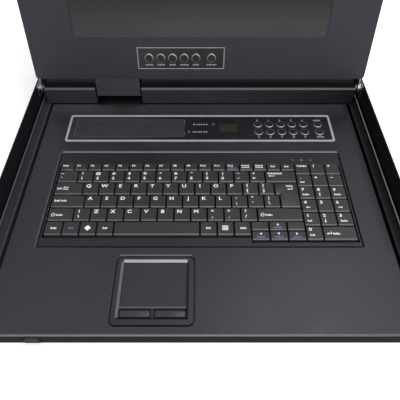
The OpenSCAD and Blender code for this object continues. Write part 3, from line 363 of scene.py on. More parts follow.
def lens(name, colour):
    """Small moulded lamp lens, pale in the middle of each cell."""
    s = Shader(name, rough=0.25)
    cells = s.add("ShaderNodeTexVoronoi")
    cells.inputs["Scale"].default_value = 2200
    s.link(s.coord, cells.inputs["Vector"])
    away = cells.outputs["Distance"]
    base = s.mix(s.span(away, 0.1, 0.6), colour, shade(colour, 0.7))
    return s.finish(base, None, s.relief(away, 0.05 * MM, 0.4))


# Zones of another colour that paint light and shade: lighter where a coat catches the light, darker where it
# lies in shade.
# Each has its colour, the softness of its sides and its box in the drawer frame; FAR is past the object.
FAR = 1000
DECK_PAINTED_LIGHT = (
    # Painted shade at the rear right, painted light on the strips before the rear ledges, the painted shadow
    # of the cable cover and a painted shadow at the foot of the ledges
    (srgb(30, 31, 36), 40, {"x": (150, FAR), "y": (230, FAR)}),
    (srgb(64, 65, 70), 12, {"x": (-FAR, -120), "y": (302, FAR)}),
    (srgb(54, 55, 60), 12, {"x": (-90, FAR), "y": (304, FAR)}),
    (srgb(4, 4, 6), 8, {"x": (-137, -76), "y": (313, FAR)}),
    (srgb(3, 3, 4), 0.4, {"y": (316.5, FAR)}),
    # Painted shade along the right edge and painted sheen on the front left
    (srgb(18, 18, 22), 6, {"x": (192, FAR), "y": (90, FAR)}),
    (srgb(51, 52, 58), 60, {"x": (-FAR, -60), "y": (-FAR, 60)}),
    # Painted shade on the front face, and a painted highlight on the fold above it, which gets darker in
    # steps towards the right
    (srgb(6, 7, 10), 0.2, {"y": (-FAR, 1.0), "z": (-FAR, 14.6)}),
    (srgb(104, 102, 106), 0.25, {"y": (-FAR, 1.1), "z": (14.9, FAR)}),
    (srgb(97, 95, 99), 0.2, {"x": (70, FAR), "y": (-FAR, 1.2), "z": (14.8, FAR)}),
    (srgb(90, 88, 92), 0.2, {"x": (110, FAR), "y": (-FAR, 1.2), "z": (14.8, FAR)}),
    (srgb(83, 81, 85), 0.2, {"x": (150, FAR), "y": (-FAR, 1.2), "z": (14.8, FAR)}),
    # Painted highlights on the edges of the cut-outs: behind and left of the keyboard, and behind the
    # touchpad
    (srgb(108, 108, 112), 0.3, {"w": (-FAR, 165.4), "y": (226.4, 228.8), "z": (15.8, FAR)}),
    (srgb(66, 67, 72), 0.4, {"x": (-168.8, -166.9), "y": (92, 226), "z": (16, FAR)}),
    (srgb(88, 88, 93), 0.3, {"x": (-80, -8), "y": (81.6, 83.3), "z": (16, FAR)}))
LEDGE_PAINTED_LIGHT = (
    # Painted shade on the right ledge, then painted highlights on the outer lips and the inner edges of both
    (srgb(14, 16, 19), 0.5, {"x": (198, FAR)}),
    (srgb(92, 92, 95), 0.2, {"x": (-FAR, -209), "z": (18.7, FAR)}),
    (srgb(150, 150, 152), 0.2, {"x": (209, FAR), "z": (18.7, FAR)}),
    (srgb(64, 65, 69), 0.4, {"x": (-201, -199), "z": (16.4, FAR)}),
    (srgb(34, 35, 38), 0.4, {"x": (199, 201), "z": (16.4, FAR)}))
COVER_PAINTED_LIGHT = (
    # Painted shade on the right side and on the top, a painted highlight on the upper edge of the front face
    # and a painted shadow at its foot
    (srgb(26, 27, 31), 90, {"x": (110, FAR)}),
    (srgb(8, 8, 9), 0.4, {"y": (320.4, FAR), "z": (41.4, FAR)}),
    (srgb(102, 102, 106), 0.3, {"y": (317, 319.3), "z": (39.2, 41.3)}),
    (srgb(14, 14, 16), 0.3, {"y": (317, 319), "z": (16, 18)}))
# Painted light on the panel's face, lighter towards the left
PANEL_PAINTED_LIGHT = ((srgb(48, 47, 51), 34, {"x": (-FAR, -60)}),)
PAD_PAINTED_LIGHT = (
    # Painted shade on the right and front sides of the well and painted highlights on its left and rear
    # sides, then a painted highlight on the edge before the touch surface
    (srgb(24, 24, 27), 0.2, {"x": (-12.8, -10), "y": (15, 77), "z": (14.6, 16.6)}),
    (srgb(20, 20, 23), 0.2, {"x": (-77, -11), "y": (14.9, 17.3), "z": (14.6, 16.6)}),
    (srgb(98, 98, 102), 0.2, {"x": (-77.6, -75.2), "y": (17, 75.4), "z": (14.6, 17)}),
    (srgb(152, 151, 153), 0.2, {"x": (-75.4, -12.6), "y": (75.2, 77.6), "z": (14.6, 17)}),
    (srgb(74, 74, 79), 0.2, {"x": (-75.2, -12.8), "y": (27, 28.9), "z": (14, 16)}))

DECK = coated_steel("deck_coat", srgb(41, 42, 48), 0.36, 0.25, matte_front=True, painted_light=DECK_PAINTED_LIGHT)
SHELL = coated_steel("shell_coat", srgb(21, 24, 27), 0.5, 0.15)
LEDGE = coated_steel("ledge_coat", srgb(44, 46, 50), 0.42, 0.12, painted_light=LEDGE_PAINTED_LIGHT)
COVER = coated_steel("cover_coat", srgb(46, 47, 52), 0.4, 0.14, painted_light=COVER_PAINTED_LIGHT)
LID = coated_steel("lid_coat", srgb(43, 44, 50), 0.44, 0.25)
RACK = coated_steel("rack_coat", srgb(26, 27, 29), 0.5, 0.25)
ZINC = plated("zinc_steel", srgb(170, 174, 178), 0.34, stretch=(1, 0.05, 1))
HINGE_STEEL = plated("hinge_steel", srgb(150, 152, 156), 0.36)
SCREW = plated("screw_steel", srgb(190, 192, 196), 0.3)
SHELL_METAL = plated("port_shell", srgb(186, 188, 190), 0.25)
SILVER = moulded("silver_trim", srgb(164, 162, 165), 0.42, 0.5, grain=0.01, edge=0.4, edge_highlight=1.15)
RING = plated("ring_metal", srgb(142, 142, 145), 0.5)
OVERLAY = moulded("overlay", srgb(25, 26, 29), 0.34, 0.3, grain=0.01, edge=0.2, edge_highlight=1.5, painted_light=PANEL_PAINTED_LIGHT)
FILM = moulded("label_film", srgb(54, 53, 57), 0.3, 0.4, grain=0.01, edge=0.2, edge_highlight=1.3)
DISPLAY = glass("display_window", srgb(44, 43, 33), 0.22)
SCREEN = glass("screen_glass", srgb(9, 10, 12), 0.12)
KEY = moulded("key_plastic", srgb(46, 46, 46), 0.42, 0.3, grain=0.03, edge=0.1, edge_highlight=1.0)
# A lighter copy of the key plastic, for the painted highlight on the front edges of the caps
KEY_HIGHLIGHT = moulded("key_highlight", srgb(82, 82, 85), 0.4, 0.3, edge=0.1, edge_highlight=1.0)
FRAME = moulded("frame_plastic", srgb(29, 30, 35), 0.45, 0.3)
PAD = moulded("pad_plastic", srgb(36, 37, 42), 0.34, 0.3, painted_light=PAD_PAINTED_LIGHT)
PAD_FACE = moulded("pad_face", srgb(38, 39, 44), 0.5, 0.3, grain=0.04)
PAD_BUTTON = moulded("pad_button", srgb(48, 48, 53), 0.36, 0.3, edge_highlight=1.4)
LATCH = moulded("latch_plastic", srgb(50, 49, 49), 0.8, 0.1)
BUTTON = moulded("button_plastic", srgb(26, 27, 30), 0.4, 0.3)
DARK = moulded("dark_plastic", srgb(22, 22, 24), 0.5, 0.3)
BLUE = moulded("port_blue", srgb(44, 66, 150), 0.45, 0.5)
STEEL = coated_steel("floor_steel", srgb(14, 14, 16), 0.7, 0.1)
TONGUE = coated_steel("tongue_coat", srgb(50, 51, 57), 0.44, 0.25)
BOARD = circuit("solder_mask", srgb(24, 74, 48))
INK = ink("white_ink", srgb(240, 241, 244))
BLUE_INK = ink("blue_ink", srgb(104, 116, 180))
GREY_INK = ink("grey_ink", srgb(152, 153, 156))
DIM_INK = ink("dim_ink", srgb(96, 94, 98))
LAMP = lens("lamp_lens", srgb(138, 142, 138))
KEY_LAMP = lens("key_lamp_lens", srgb(70, 74, 70))

# Finishes by the ending of the node's name
FINISHES = {
    "outer_rail": ZINC, "middle_rail": ZINC, "inner_rail": ZINC, "front_bracket": RACK, "rear_bracket": RACK,
    "bracket_screws": SCREW, "base_tray": SHELL, "deck_plate": DECK, "side_ledge": LEDGE, "rear_cover": COVER,
    "rear_panel": RACK, "switch_board": BOARD, "computer_ports": BLUE, "console_ports": SHELL_METAL,
    "power_inlet": DARK, "power_supply": SHELL_METAL, "panel_border": SILVER, "panel_plate": OVERLAY,
    "panel_board": BOARD, "digit_display": DISPLAY, "panel_lamps": LAMP, "keyboard_frame": FRAME,
    "keyboard_plate": STEEL, "keyboard_lamps": KEY_LAMP, "touchpad_bezel": PAD, "touchpad_surface": PAD_FACE,
    "hinge_bracket": HINGE_STEEL, "hinge_screws": SCREW, "lid_cover": LID, "lid_bezel": LID,
    "lcd_panel": SCREEN, "lcd_boards": BOARD, "menu_plate": OVERLAY, "cable_cover": TONGUE,
    "hinge_arm": HINGE_STEEL, "touch_button": PAD_BUTTON, "front_latch": LATCH, "digit_buttons": BUTTON,
    "command_button": BUTTON, "menu_buttons": BUTTON, "menu_power_button": BUTTON, "keys": KEY,
}


def dress_nodes():
    """Gives each node the finish that belongs to the ending of its name."""
    for name, obj in NODES.items():
        finish = next(mat for ending, mat in FINISHES.items() if name.endswith(ending))
        obj.data.materials.clear()
        obj.data.materials.append(finish)


# Mesh tools

def piece(name, verts, faces, mat, body, smooth=None):
    """A piece that rides on a body; edges sharper than smooth, in degrees, stay sharp."""
    mesh = bpy.data.meshes.new(name)
    mesh.from_pydata([tuple(v) for v in verts], [], faces)
    mesh.materials.append(mat)
    if smooth is not None:
        mesh.shade_smooth()
        mesh.set_sharp_from_angle(angle=math.radians(smooth))
    mesh.update()
    obj = bpy.data.objects.new(name, mesh)
    bpy.context.scene.collection.objects.link(obj)
    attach(obj, body)
    return obj


class Mesh:
    """Collects faces of many small shapes into one piece."""

    def __init__(self):
        self.verts, self.faces = [], []

    def add(self, verts, faces):
        n = len(self.verts)
        self.verts += verts
        self.faces += [tuple(n + i for i in f) for f in faces]

    def rings(self, rings, closed_top=True, closed_bottom=True):
        """Skins a stack of equal loops."""
        n = len(rings[0])
        faces = []
        for k in range(len(rings) - 1):
            for i in range(n):
                j = (i + 1) % n
                faces.append((k * n + i, k * n + j, (k + 1) * n + j, (k + 1) * n + i))
        if closed_bottom:
            faces.append(tuple(reversed(range(n))))
        if closed_top:
            faces.append(tuple(range((len(rings) - 1) * n, len(rings) * n)))
        self.add([v for ring in rings for v in ring], faces)


def divided(points, steps, parts):
    """The loop with its straight edges cut into equal parts; steps is that of its round corners."""
    out = []
    for i, p in enumerate(points):
        out.append(p)
        if (i + 1) % (steps + 1) == 0:
            q = points[(i + 1) % len(points)]
            out += [p.lerp(q, k / parts) for k in range(1, parts)]
    return out


def rounded(points, inset, radius, steps):
    """Outline of a rectilinear loop (anticlockwise), moved inwards and with round corners."""
    out = []
    n = len(points)
    for i in range(n):
        p0, p1, p2 = (Vector(points[(i + k) % n]) for k in (-1, 0, 1))
        a, b = (p1 - p0).normalized(), (p2 - p1).normalized()
        left_a, left_b = Vector((-a.y, a.x)), Vector((-b.y, b.x))
        corner = p1 + (left_a + left_b) * inset
        side = 1 if a.x * b.y > a.y * b.x else -1
        centre = corner + (left_a + left_b) * radius * side
        for step in range(steps + 1):
            spoke = Matrix.Rotation(math.radians(90 * step / steps) * side, 2) @ left_a * -side
            out.append(centre + spoke * radius)
    return out


# Drawn glyphs by text and width; how much bolder than the font, steps of its curves, height of its capitals
GLYPHS = {}
GLYPH_BOLD, GLYPH_STEPS, CAPITAL = 0.03, 3, 0.70


def glyph(text, wide=1.0):
    """Flat mesh of a few characters, one unit high capital letters, centred."""
    if (text, wide) not in GLYPHS:
        curve = bpy.data.curves.new("glyph", "FONT")
        curve.body = text
        curve.offset = GLYPH_BOLD
        curve.resolution_u = GLYPH_STEPS
        obj = bpy.data.objects.new("glyph", curve)
        bpy.context.scene.collection.objects.link(obj)
        mesh = bpy.data.meshes.new_from_object(obj)
        flat = bmesh.new()
        flat.from_mesh(mesh)
        bmesh.ops.triangulate(flat, faces=flat.faces)
        verts = [(v.co.x, v.co.y) for v in flat.verts]
        faces = [tuple(v.index for v in f.verts) for f in flat.faces]
        flat.free()
        bpy.data.objects.remove(obj)
        bpy.data.curves.remove(curve)
        bpy.data.meshes.remove(mesh)
        xs = [v[0] for v in verts]
        mid = (min(xs) + max(xs)) / 2
        flat_verts = [((x - mid) / CAPITAL * wide, y / CAPITAL - 0.5) for x, y in verts]
        GLYPHS[text, wide] = (flat_verts, faces)
    return GLYPHS[text, wide]


# Keyboard

# Pitches of the keys, of their rows, of the number pad and of the arrow keys, the width left of the number
# pad, and the gaps between caps that stand beside and behind each other
PITCH, ROW_PITCH, PAD_PITCH = 17.85, 18.0, 17.5
ARROW_PITCH = PITCH * 1.055
MAIN_W = 272.2
GAP, ROW_GAP = 0.8, 2.0
KEY_TOP, KEY_H = 19.4, 4.0
KEY_FOOT = KEY_TOP - KEY_H
# How far a cap's sides, back and front lean in, and how its front is chamfered, bent and rolled into the top
KEY_LEAN, KEY_BACK, KEY_FRONT = 0.55, 0.2, 1.4
CHAMFER, BEND, ROLL = 1.2, 0.1, 0.25
CAP_CORNER, CAP_STEPS, CAP_PARTS = 0.55, 4, 6
# The hollow of a top and its inner rings, the stem below a cap, and the depth of function and arrow keys
DISH = 0.2
TOP_SHARES = (0.75, 0.5, 0.25)
STEM, STEM_Z = 4.0, 9.0
SHORT = 12.0
KEYS_X0, KEYS_Y0, SPACE_Y = -(MAIN_W + 3 * PAD_PITCH) / 2, 98.0, 104.0
PAD_X0 = KEYS_X0 + MAIN_W
ARROW_X0 = PAD_X0 - 3 * ARROW_PITCH
# The bars on the keys F and J: half sizes, place from the cap's front, shares and rises of the rings
BUMP_KEYS = (4, 7)
BUMP_LONG, BUMP_WIDE, BUMP_IN = 2.0, 0.5, 4.2
BUMP_SHARES = ((-1, -0.5), (-0.8, -1), (0.8, -1), (1, -0.5), (1, 0.5), (0.8, 1), (-0.8, 1), (-1, 0.5))
BUMP_RINGS = ((1.0, 0.0), (0.92, 0.22), (0.7, 0.34))
# A face of a cap gets the painted highlight of its front edge when its normal's y is below one and its z
# above the other
HIGHLIGHT_FRONT, HIGHLIGHT_UP = -0.4, 0.3


def cells(widths, x0, y, pitch=PITCH, depth=ROW_PITCH):
    """The cells (x, y, width, depth) of a row of keys, from their widths in pitches."""
    out, x = [], x0
    for w in widths:
        out.append((x, y, w * pitch, depth))
        x += w * pitch
    return out


def filled(widths, w):
    """Widths of a row whose last key reaches to the row's end."""
    return widths + [w / PITCH - sum(widths)]


def row_y(n):
    return SPACE_Y + n * ROW_PITCH


ROWS = {
    "function_keys": cells([1] * 17, KEYS_X0, row_y(5), MAIN_W / 17, SHORT),
    "number_keys": cells(filled([1.265] + [1] * 12, MAIN_W), KEYS_X0, row_y(4)),
    "tab_keys": cells([1.76] + [1] * 12, KEYS_X0, row_y(3)),
    "caps_keys": cells([2.02] + [1] * 12, KEYS_X0, row_y(2)),
    "shift_keys": cells(filled([1.53] + [1] * 11, MAIN_W), KEYS_X0, row_y(1)),
    "space_keys": cells(filled([1.05, 1, 1, 1, 5.04, 1, 1], ARROW_X0 - KEYS_X0), KEYS_X0, row_y(0)),
    "arrow_keys": [cell for n in (0, 1)
                   for cell in cells([1] * 3, ARROW_X0, KEYS_Y0 + n * SHORT, ARROW_PITCH, SHORT)],
    "numpad_keys": cells([1, 2], PAD_X0, KEYS_Y0, PAD_PITCH)
    + [cell for n in range(1, 6) for cell in cells([1] * 3, PAD_X0, KEYS_Y0 + n * ROW_PITCH, PAD_PITCH)],
}
# The enter key stands on two rows; its left side steps in between them
ENTER_X1 = PAD_X0 - GAP / 2
ENTER_TOP_X0 = KEYS_X0 + 13.76 * PITCH + GAP / 2
ENTER_LOW_X0 = KEYS_X0 + 14.02 * PITCH + GAP / 2
ENTER_Y0, ENTER_MID_Y = row_y(2) + ROW_GAP - GAP / 2, row_y(3) + ROW_GAP - GAP / 2
ENTER_Y1 = row_y(4) - GAP / 2


def plain_outline(x0, x1, y0, y1):
    """Gives a function for the outline at a height, where front, sides and back have leant in so far."""
    def at_height(front, side, back):
        left, right, low, high = x0 + side, x1 - side, y0 + front, y1 - back
        return [(left, low), (right, low), (right, high), (left, high)]
    return at_height


def enter_outline(front, side, back):
    x0, x1, x2 = ENTER_TOP_X0 + side, ENTER_LOW_X0 + side, ENTER_X1 - side
    y0, y1, y2 = ENTER_Y0 + front, ENTER_MID_Y + front, ENTER_Y1 - back
    return [(x1, y0), (x2, y0), (x2, y2), (x0, y2), (x0, y1), (x1, y1)]


def dish(x, half):
    """How deep a cap's hollow top lies at x from its middle."""
    return DISH * max(0.0, 1 - (x / half) ** 2)


def key_cap(mesh, outline, cx, half):
    """One cap: steep sides, a leaning front chamfered under the top, rolled edges and a hollow top."""
    def ring(z, front, roll=0.0, hollow=False):
        side, back = KEY_LEAN * z / KEY_H + roll, KEY_BACK * z / KEY_H + roll
        loop = divided(rounded(outline(front, side, back), 0, CAP_CORNER, CAP_STEPS), CAP_STEPS, CAP_PARTS)
        return [at(p.x, p.y, KEY_FOOT + z - (dish(p.x - cx, half) if hollow else 0)) for p in loop]

    low, lean = KEY_H - CHAMFER, KEY_FRONT - CHAMFER
    rings = [ring(0, 0), ring(low - BEND * 2, lean - BEND), ring(low + BEND * 1.5, lean + BEND),
             ring(KEY_H - ROLL, KEY_FRONT - ROLL * 1.1),
             ring(KEY_H - ROLL * 0.3, KEY_FRONT - ROLL * 0.1, ROLL * 0.3),
             ring(KEY_H, KEY_FRONT + ROLL * 0.5, ROLL, hollow=True)]
    if outline is enter_outline:
        mesh.rings(rings)
        return
    mesh.rings(rings, closed_top=False)
    rim = [(v.x / MM, v.y / MM - FRONT_Y) for v in rings[-1]]
    mid = sum(p[1] for p in rim) / len(rim)
    inner = [rings[-1]]
    for f in TOP_SHARES:
        loop = [(cx + (x - cx) * f, mid + (y - mid) * f) for x, y in rim]
        inner.append([at(x, y, KEY_TOP - dish(x - cx, half)) for x, y in loop])
    mesh.rings(inner, closed_bottom=False)


def block(mesh, x0, x1, y0, y1, z0, z1):
    low = [(x0, y0), (x1, y0), (x1, y1), (x0, y1)]
    mesh.rings([[at(x, y, z) for x, y in low] for z in (z0, z1)])


def stem(mesh, cx, cy):
    block(mesh, cx - STEM / 2, cx + STEM / 2, cy - STEM / 2, cy + STEM / 2, STEM_Z, KEY_FOOT)


def bump(mesh, cx, cy):
    """Locating bar on a home key."""
    foot = KEY_TOP - DISH
    mesh.rings([[at(cx + BUMP_LONG * f * u, cy + BUMP_WIDE * f * v, foot + rise) for u, v in BUMP_SHARES]
                for f, rise in BUMP_RINGS])


def make_keys():
    for row, row_cells in ROWS.items():
        mesh = Mesh()
        for i, (x, y, w, d) in enumerate(row_cells):
            x0, x1, y0, y1 = x + GAP / 2, x + w - GAP / 2, y + ROW_GAP - GAP / 2, y + d - GAP / 2
            cx = (x0 + x1) / 2
            key_cap(mesh, plain_outline(x0, x1, y0, y1), cx, (x1 - x0) / 2)
            stem(mesh, cx, (y0 + y1) / 2)
            if row == "caps_keys" and i in BUMP_KEYS:
                bump(mesh, cx, y0 + BUMP_IN)
        if row == "caps_keys":
            cx = (ENTER_LOW_X0 + ENTER_X1) / 2
            key_cap(mesh, enter_outline, cx, 1)
            stem(mesh, cx, row_y(3) + (ROW_GAP - GAP) / 2)
        obj = piece(row + "_caps", mesh.verts, mesh.faces, KEY, row + "_body", 28)
        # The front chamfer's faces take the lighter copy of the key plastic as a painted highlight
        obj.data.materials.append(KEY_HIGHLIGHT)
        chamfer_z = at(0, 0, KEY_TOP - CHAMFER).z
        for face in obj.data.polygons:
            leans = face.normal.y < HIGHLIGHT_FRONT and face.normal.z > HIGHLIGHT_UP
            face.material_index = 1 if leans and face.center.z > chamfer_z else 0
        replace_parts(obj, row)


# Legends

# A key's legend point from its left and rear sides; all places of legends are given from there
LEGEND_DX, LEGEND_DY = 5.5, 4.2
# A single letter's place and height, and how far back two characters on one key stand and how high they are
LETTER = (0.4, 0.0, 4.2)
UPPER, LOWER = (0.8, 3.4), (-6.4, 3.6)
PRINT_LIFT, PRINT_WIDE = 0.03, 1.15
# A word is a row of strokes: their pitch, their width, the height of the low ones
WORD_STEP, WORD_STROKE, WORD_LOW_SHARE = 1.25, 0.88, 0.72
# Half the width of an arrow's shaft, and of its head as a share of the head's length
ARROW_STROKE, HEAD_SHARE = 0.4, 0.62
# The letter M, in shares of its height, since the bold one of the font closes up
M_LOOP = ((-0.55, -0.5), (-0.55, 0.5), (-0.3, 0.5), (0, 0.05), (0.3, 0.5), (0.55, 0.5), (0.55, -0.5),
          (0.33, -0.5), (0.33, 0.15), (0, -0.3), (-0.33, 0.15), (-0.33, -0.5))
M_FACES = ((11, 10, 1, 0), (10, 9, 2, 1), (9, 3, 2), (9, 4, 3), (9, 8, 5, 4), (8, 7, 6, 5))
# The enter key's legends lie on a flat top, so the cell for them has no width and no hollow
ENTER = len(ROWS["caps_keys"])
ENTER_CELL = (91.3, row_y(3), 0, ROW_PITCH)
LEGEND_CELLS = {**ROWS, "caps_keys": ROWS["caps_keys"] + [ENTER_CELL]}


def letters(text, first):
    return [(key, letter, *LETTER) for key, letter in enumerate(text, first)]


def pairs(texts, first, dx=0.0):
    """Two characters on each key, one behind the other."""
    out = []
    for key, (upper, lower) in enumerate(texts, first):
        out += [(key, upper, dx, *UPPER), (key, lower, dx, *LOWER)]
    return out


def star(key, x, y, long, wide):
    """The three bars of a star, given by their half length and half width."""
    out = []
    for k in range(3):
        c, s = math.cos(math.pi * k / 3), math.sin(math.pi * k / 3)
        bar = ((-long, -wide), (long, -wide), (long, wide), (-long, wide))
        out.append((key, [(x + u * c - v * s, y + u * s + v * c) for u, v in bar]))
    return out


# Characters by row: key, text, place, height
CHARS = {
    "function_keys": [(i, f"F{i}", -0.6 if i < 10 else 0.2, 0.8, 2.6) for i in range(1, 13)],
    "number_keys": pairs(["~`"], 0, -1.1)
    + pairs(["!1", "@2", "#3", "$4", "%5", "^6", "&7", "*8", "(9", ")0"], 1, -0.5) + pairs(["+="], 12, -0.5),
    "tab_keys": letters("QWERTYUIOP", 1) + pairs(["{[", "}]"], 11),
    "caps_keys": letters("ASDFGHJKL", 1) + pairs([":;", "\"'", "|\\"], 10),
    "shift_keys": pairs(["|\\"], 1) + letters("ZXCVBNM", 2) + pairs(["<,", ">.", "?/"], 9),
    "numpad_keys": [(i, sign, -0.5, 0.6, 3.7) for i, sign in zip((0, *range(2, 13), 15), "0123456789.+/")],
}
# White and blue words by row: key, place, number of strokes, height
WORDS = {
    "function_keys": [(0, -2.7, -0.2, 5, 2.4), (15, -0.9, -1.4, 4, 2.4), (16, -0.9, -1.4, 4, 2.4)]
    + [(i, x, y, 7, 1.9) for i in (13, 14) for x, y in ((-2.7, 0.3), (-2.5, -2.6))],
    "number_keys": [(13, -1.8, -0.6, 13, 2.6)],
    "tab_keys": [(0, -2.6, -5.2, 4, 2.6)],
    "caps_keys": [(0, -2.2, -4.6, 5, 2.6), (0, 4.8, -4.6, 5, 2.6), (ENTER, 0, -1.6, 6, 2.5)],
    "shift_keys": [(i, 3.2, -6.0, 6, 2.6) for i in (0, 12)],
    "space_keys": [(i, 1.2, -5.0, 5, 2.6) for i in (0, 7)] + [(i, 1.0, -5.0, 4, 2.6) for i in (3, 5)],
    "numpad_keys": [(i, -1.7, -7.6, 4, 2.4) for i in (0, 2, 11)]
    + [(i, -1.7, -7.6, 6, 2.4) for i in (4, 8, 10)] + [(1, 4.6, -6.0, 6, 2.6), (14, -2.2, -0.8, 9, 2.4)],
}
BLUE_WORDS = {
    "function_keys": [(12, -2.5, -3.6, 7, 1.9)],
    "space_keys": [(1, 1.0, -5.0, 4, 2.6)],
    "arrow_keys": [(i, -0.3, -3.6, 7, 1.8) for i in (0, 1, 2, 4)],
}
# Arrows by row: key, middle, length, length of the head, turn in degrees
ARROWS = {
    "number_keys": [(13, 2.2, -3.2, 7.5, 2.0, 180)],
    "tab_keys": [(0, 6.6, -2.2, 6.4, 2.0, 180), (0, 6.6, -5.0, 6.4, 2.0, 0)],
    "caps_keys": [(ENTER, 3.7, -5.0, 6.0, 2.0, 180)],
    "arrow_keys": [(i, 3.8, 1.1, 2.4, 2.4, turn) for i, turn in ((0, 180), (1, 270), (2, 0), (4, 90))],
    "numpad_keys": [(1, 0.6, -4.8, 5.4, 2.0, 180), (3, -0.2, -6.4, 5.0, 2.0, 270),
                    (5, 1.7, -6.4, 5.0, 2.0, 180), (7, 1.7, -6.4, 5.0, 2.0, 0),
                    (9, -0.2, -6.4, 5.0, 2.0, 90)],
}
# Bars by row: key, left, right, front, rear
BARS = {
    "number_keys": [(11, -2.2, 1.4, 0.4, 0.9), (11, -2.0, 1.2, -6.9, -6.3)],
    "caps_keys": [(ENTER, 5.9, 6.7, -4.6, -2.6)],
    "space_keys": [(6, 0.9, 5.2, -1.6 - 1.6 * k, -0.6 - 1.6 * k) for k in range(4)]
    + [(6, 0, 0.7, -6.6, -0.4), (6, 5.4, 6.1, -6.6, -0.4)],
    "numpad_keys": [(1, 2.5, 3.3, -4.4, -2.4), (13, -2.1, 1.5, 0.3, 0.9)],
}
# Filled outlines and closed lines by row: key, points
SHAPES = {
    "space_keys": [(2, [(6.6, -3.6), (3, 0), (-0.6, -3.6), (3, -7.2)])],
    "numpad_keys": star(16, -0.5, 0.6, 1.4, 0.33),
}
SHIFT_SIGN = [(-2.2, -4.4), (0, -2.2), (2.2, -4.4), (1.2, -4.4), (1.2, -6.4), (-1.2, -6.4), (-1.2, -4.4)]
LOOPS = {"shift_keys": [(0, SHIFT_SIGN), (12, SHIFT_SIGN)]}
LOOP_STROKE = 0.55


class Legends:
    """Printed characters, words, arrows and marks of one row of keys."""

    def __init__(self, row):
        self.row, self.cells = row, LEGEND_CELLS[row]
        self.white, self.blue = Mesh(), Mesh()

    def flat(self, key, pts, faces, blue=False):
        """Puts faces on a key's hollow top; points are given from its legend point."""
        x0, y0, w, d = self.cells[key]
        verts = []
        for u, v in pts:
            x, y = x0 + LEGEND_DX + u, y0 + d - LEGEND_DY + v
            verts.append(at(x, y, KEY_TOP - dish(x - x0 - w / 2, (w - GAP) / 2) + PRINT_LIFT))
        (self.blue if blue else self.white).add(verts, faces)

    def char(self, key, text, x, y, high):
        verts, faces = (M_LOOP, M_FACES) if text == "M" else glyph(text, PRINT_WIDE)
        self.flat(key, [(x + u * high, y + v * high) for u, v in verts], faces)

    def shape(self, key, pts, blue=False):
        self.flat(key, pts, [tuple(range(len(pts)))], blue)

    def bar(self, key, x0, x1, y0, y1, blue=False):
        self.shape(key, [(x0, y0), (x1, y0), (x1, y1), (x0, y1)], blue)

    def loop(self, key, pts):
        """A closed line."""
        for p0, p1 in zip(pts, pts[1:] + pts[:1]):
            self.shape(key, stroke(p0, p1, LOOP_STROKE))

    def word(self, key, x, y, count, high, blue=False):
        """A row of short strokes in the place of a word."""
        for i in range(count):
            tall = high if i % 3 == 0 else high * WORD_LOW_SHARE
            left = x + i * WORD_STEP
            self.bar(key, left, left + WORD_STROKE, y, y + tall, blue)

    def blue_word(self, *place_and_size):
        self.word(*place_and_size, blue=True)

    def arrow(self, key, x, y, length, head, turn):
        c, s = math.cos(math.radians(turn)), math.sin(math.radians(turn))

        def put(u, v):
            return (x + u * c - v * s, y + u * s + v * c)
        tail, neck, tip = -length / 2, length / 2 - head, length / 2
        if length > head:
            self.shape(key, [put(tail, -ARROW_STROKE), put(neck, -ARROW_STROKE),
                             put(neck, ARROW_STROKE), put(tail, ARROW_STROKE)])
        self.shape(key, [put(neck, -head * HEAD_SHARE), put(tip, 0), put(neck, head * HEAD_SHARE)])

    def done(self):
        for name, mesh, mat in (("white", self.white, INK), ("blue", self.blue, BLUE_INK)):
            if mesh.verts:
                piece(f"{self.row}_{name}_print", mesh.verts, mesh.faces, mat, self.row + "_body")


def stroke(p0, p1, wide):
    """The corners of a straight line, which reaches half its width past both ends."""
    along = (Vector(p1) - Vector(p0)).normalized() * wide / 2
    off = Vector((-along.y, along.x))
    a, b = Vector(p0) - along, Vector(p1) + along
    return [tuple(p) for p in (a - off, b - off, b + off, a + off)]


def make_legends():
    for row in ROWS:
        marks = Legends(row)
        tables = ((marks.char, CHARS), (marks.word, WORDS), (marks.blue_word, BLUE_WORDS),
                  (marks.arrow, ARROWS), (marks.bar, BARS), (marks.shape, SHAPES), (marks.loop, LOOPS))
        for draw, table in tables:
            for values in table.get(row, ()):
                draw(*values)
        marks.done()


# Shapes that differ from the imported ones

# The keyboard opening's ends and how far they move out, the cable cover's end and how far it moves back
OPENING_X, OPENING_GROWS = 162.45, 1.6
TONGUE_END, TONGUE_SHORTER = 4.0, 2.6
SAME_PLACE = 0.05


def make_keyboard_frame():
    """The keyboard's frame with the wide dark gap that the photo shows at both ends of the rows of keys."""
    source = NODES["keyboard_frame"].data
    verts = []
    for vert in source.vertices:
        x, y, z = vert.co
        if abs(abs(x) / MM - OPENING_X) < SAME_PLACE:
            x += math.copysign(OPENING_GROWS, x) * MM
        verts.append((x, y, z))
    faces = [tuple(face.vertices) for face in source.polygons]
    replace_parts(piece("keyboard_frame_wide", verts, faces, FRAME, "drawer"), "keyboard_frame")


def make_cable_cover():
    """The cover between the raised ledges, its free end drawn back to where the photo shows it."""
    source = NODES["cable_cover"].data
    along = LID_TURN.to_3x3() @ Vector((0, 1, 0))
    end = max(vert.co.dot(along) for vert in source.vertices) - TONGUE_END * MM
    verts = [vert.co - along * (TONGUE_SHORTER * MM if vert.co.dot(along) > end else 0)
             for vert in source.vertices]
    faces = [tuple(face.vertices) for face in source.polygons]
    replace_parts(piece("cable_cover_short", verts, faces, TONGUE, "lid"), "cable_cover")


# Port panel and screen menu

# The panel: places of its buttons, its face, place and height of a digit
DIGITS_X = [73.9 + 14.45 * i for i in range(5)]
COMMAND_X = 150.2
ROW_UP, ROW_LOW = 276.45, 262.55
PANEL_FACE = 17.4
DIGIT_DX, DIGIT_HIGH = -0.4, 3.1
# Rows of buttons: y, side of the rims' tips, y of the digits, first digit
BUTTON_ROWS = ((ROW_UP, 1, ROW_UP + 7.6, 0), (ROW_LOW, -1, ROW_LOW - 9.2, 5))
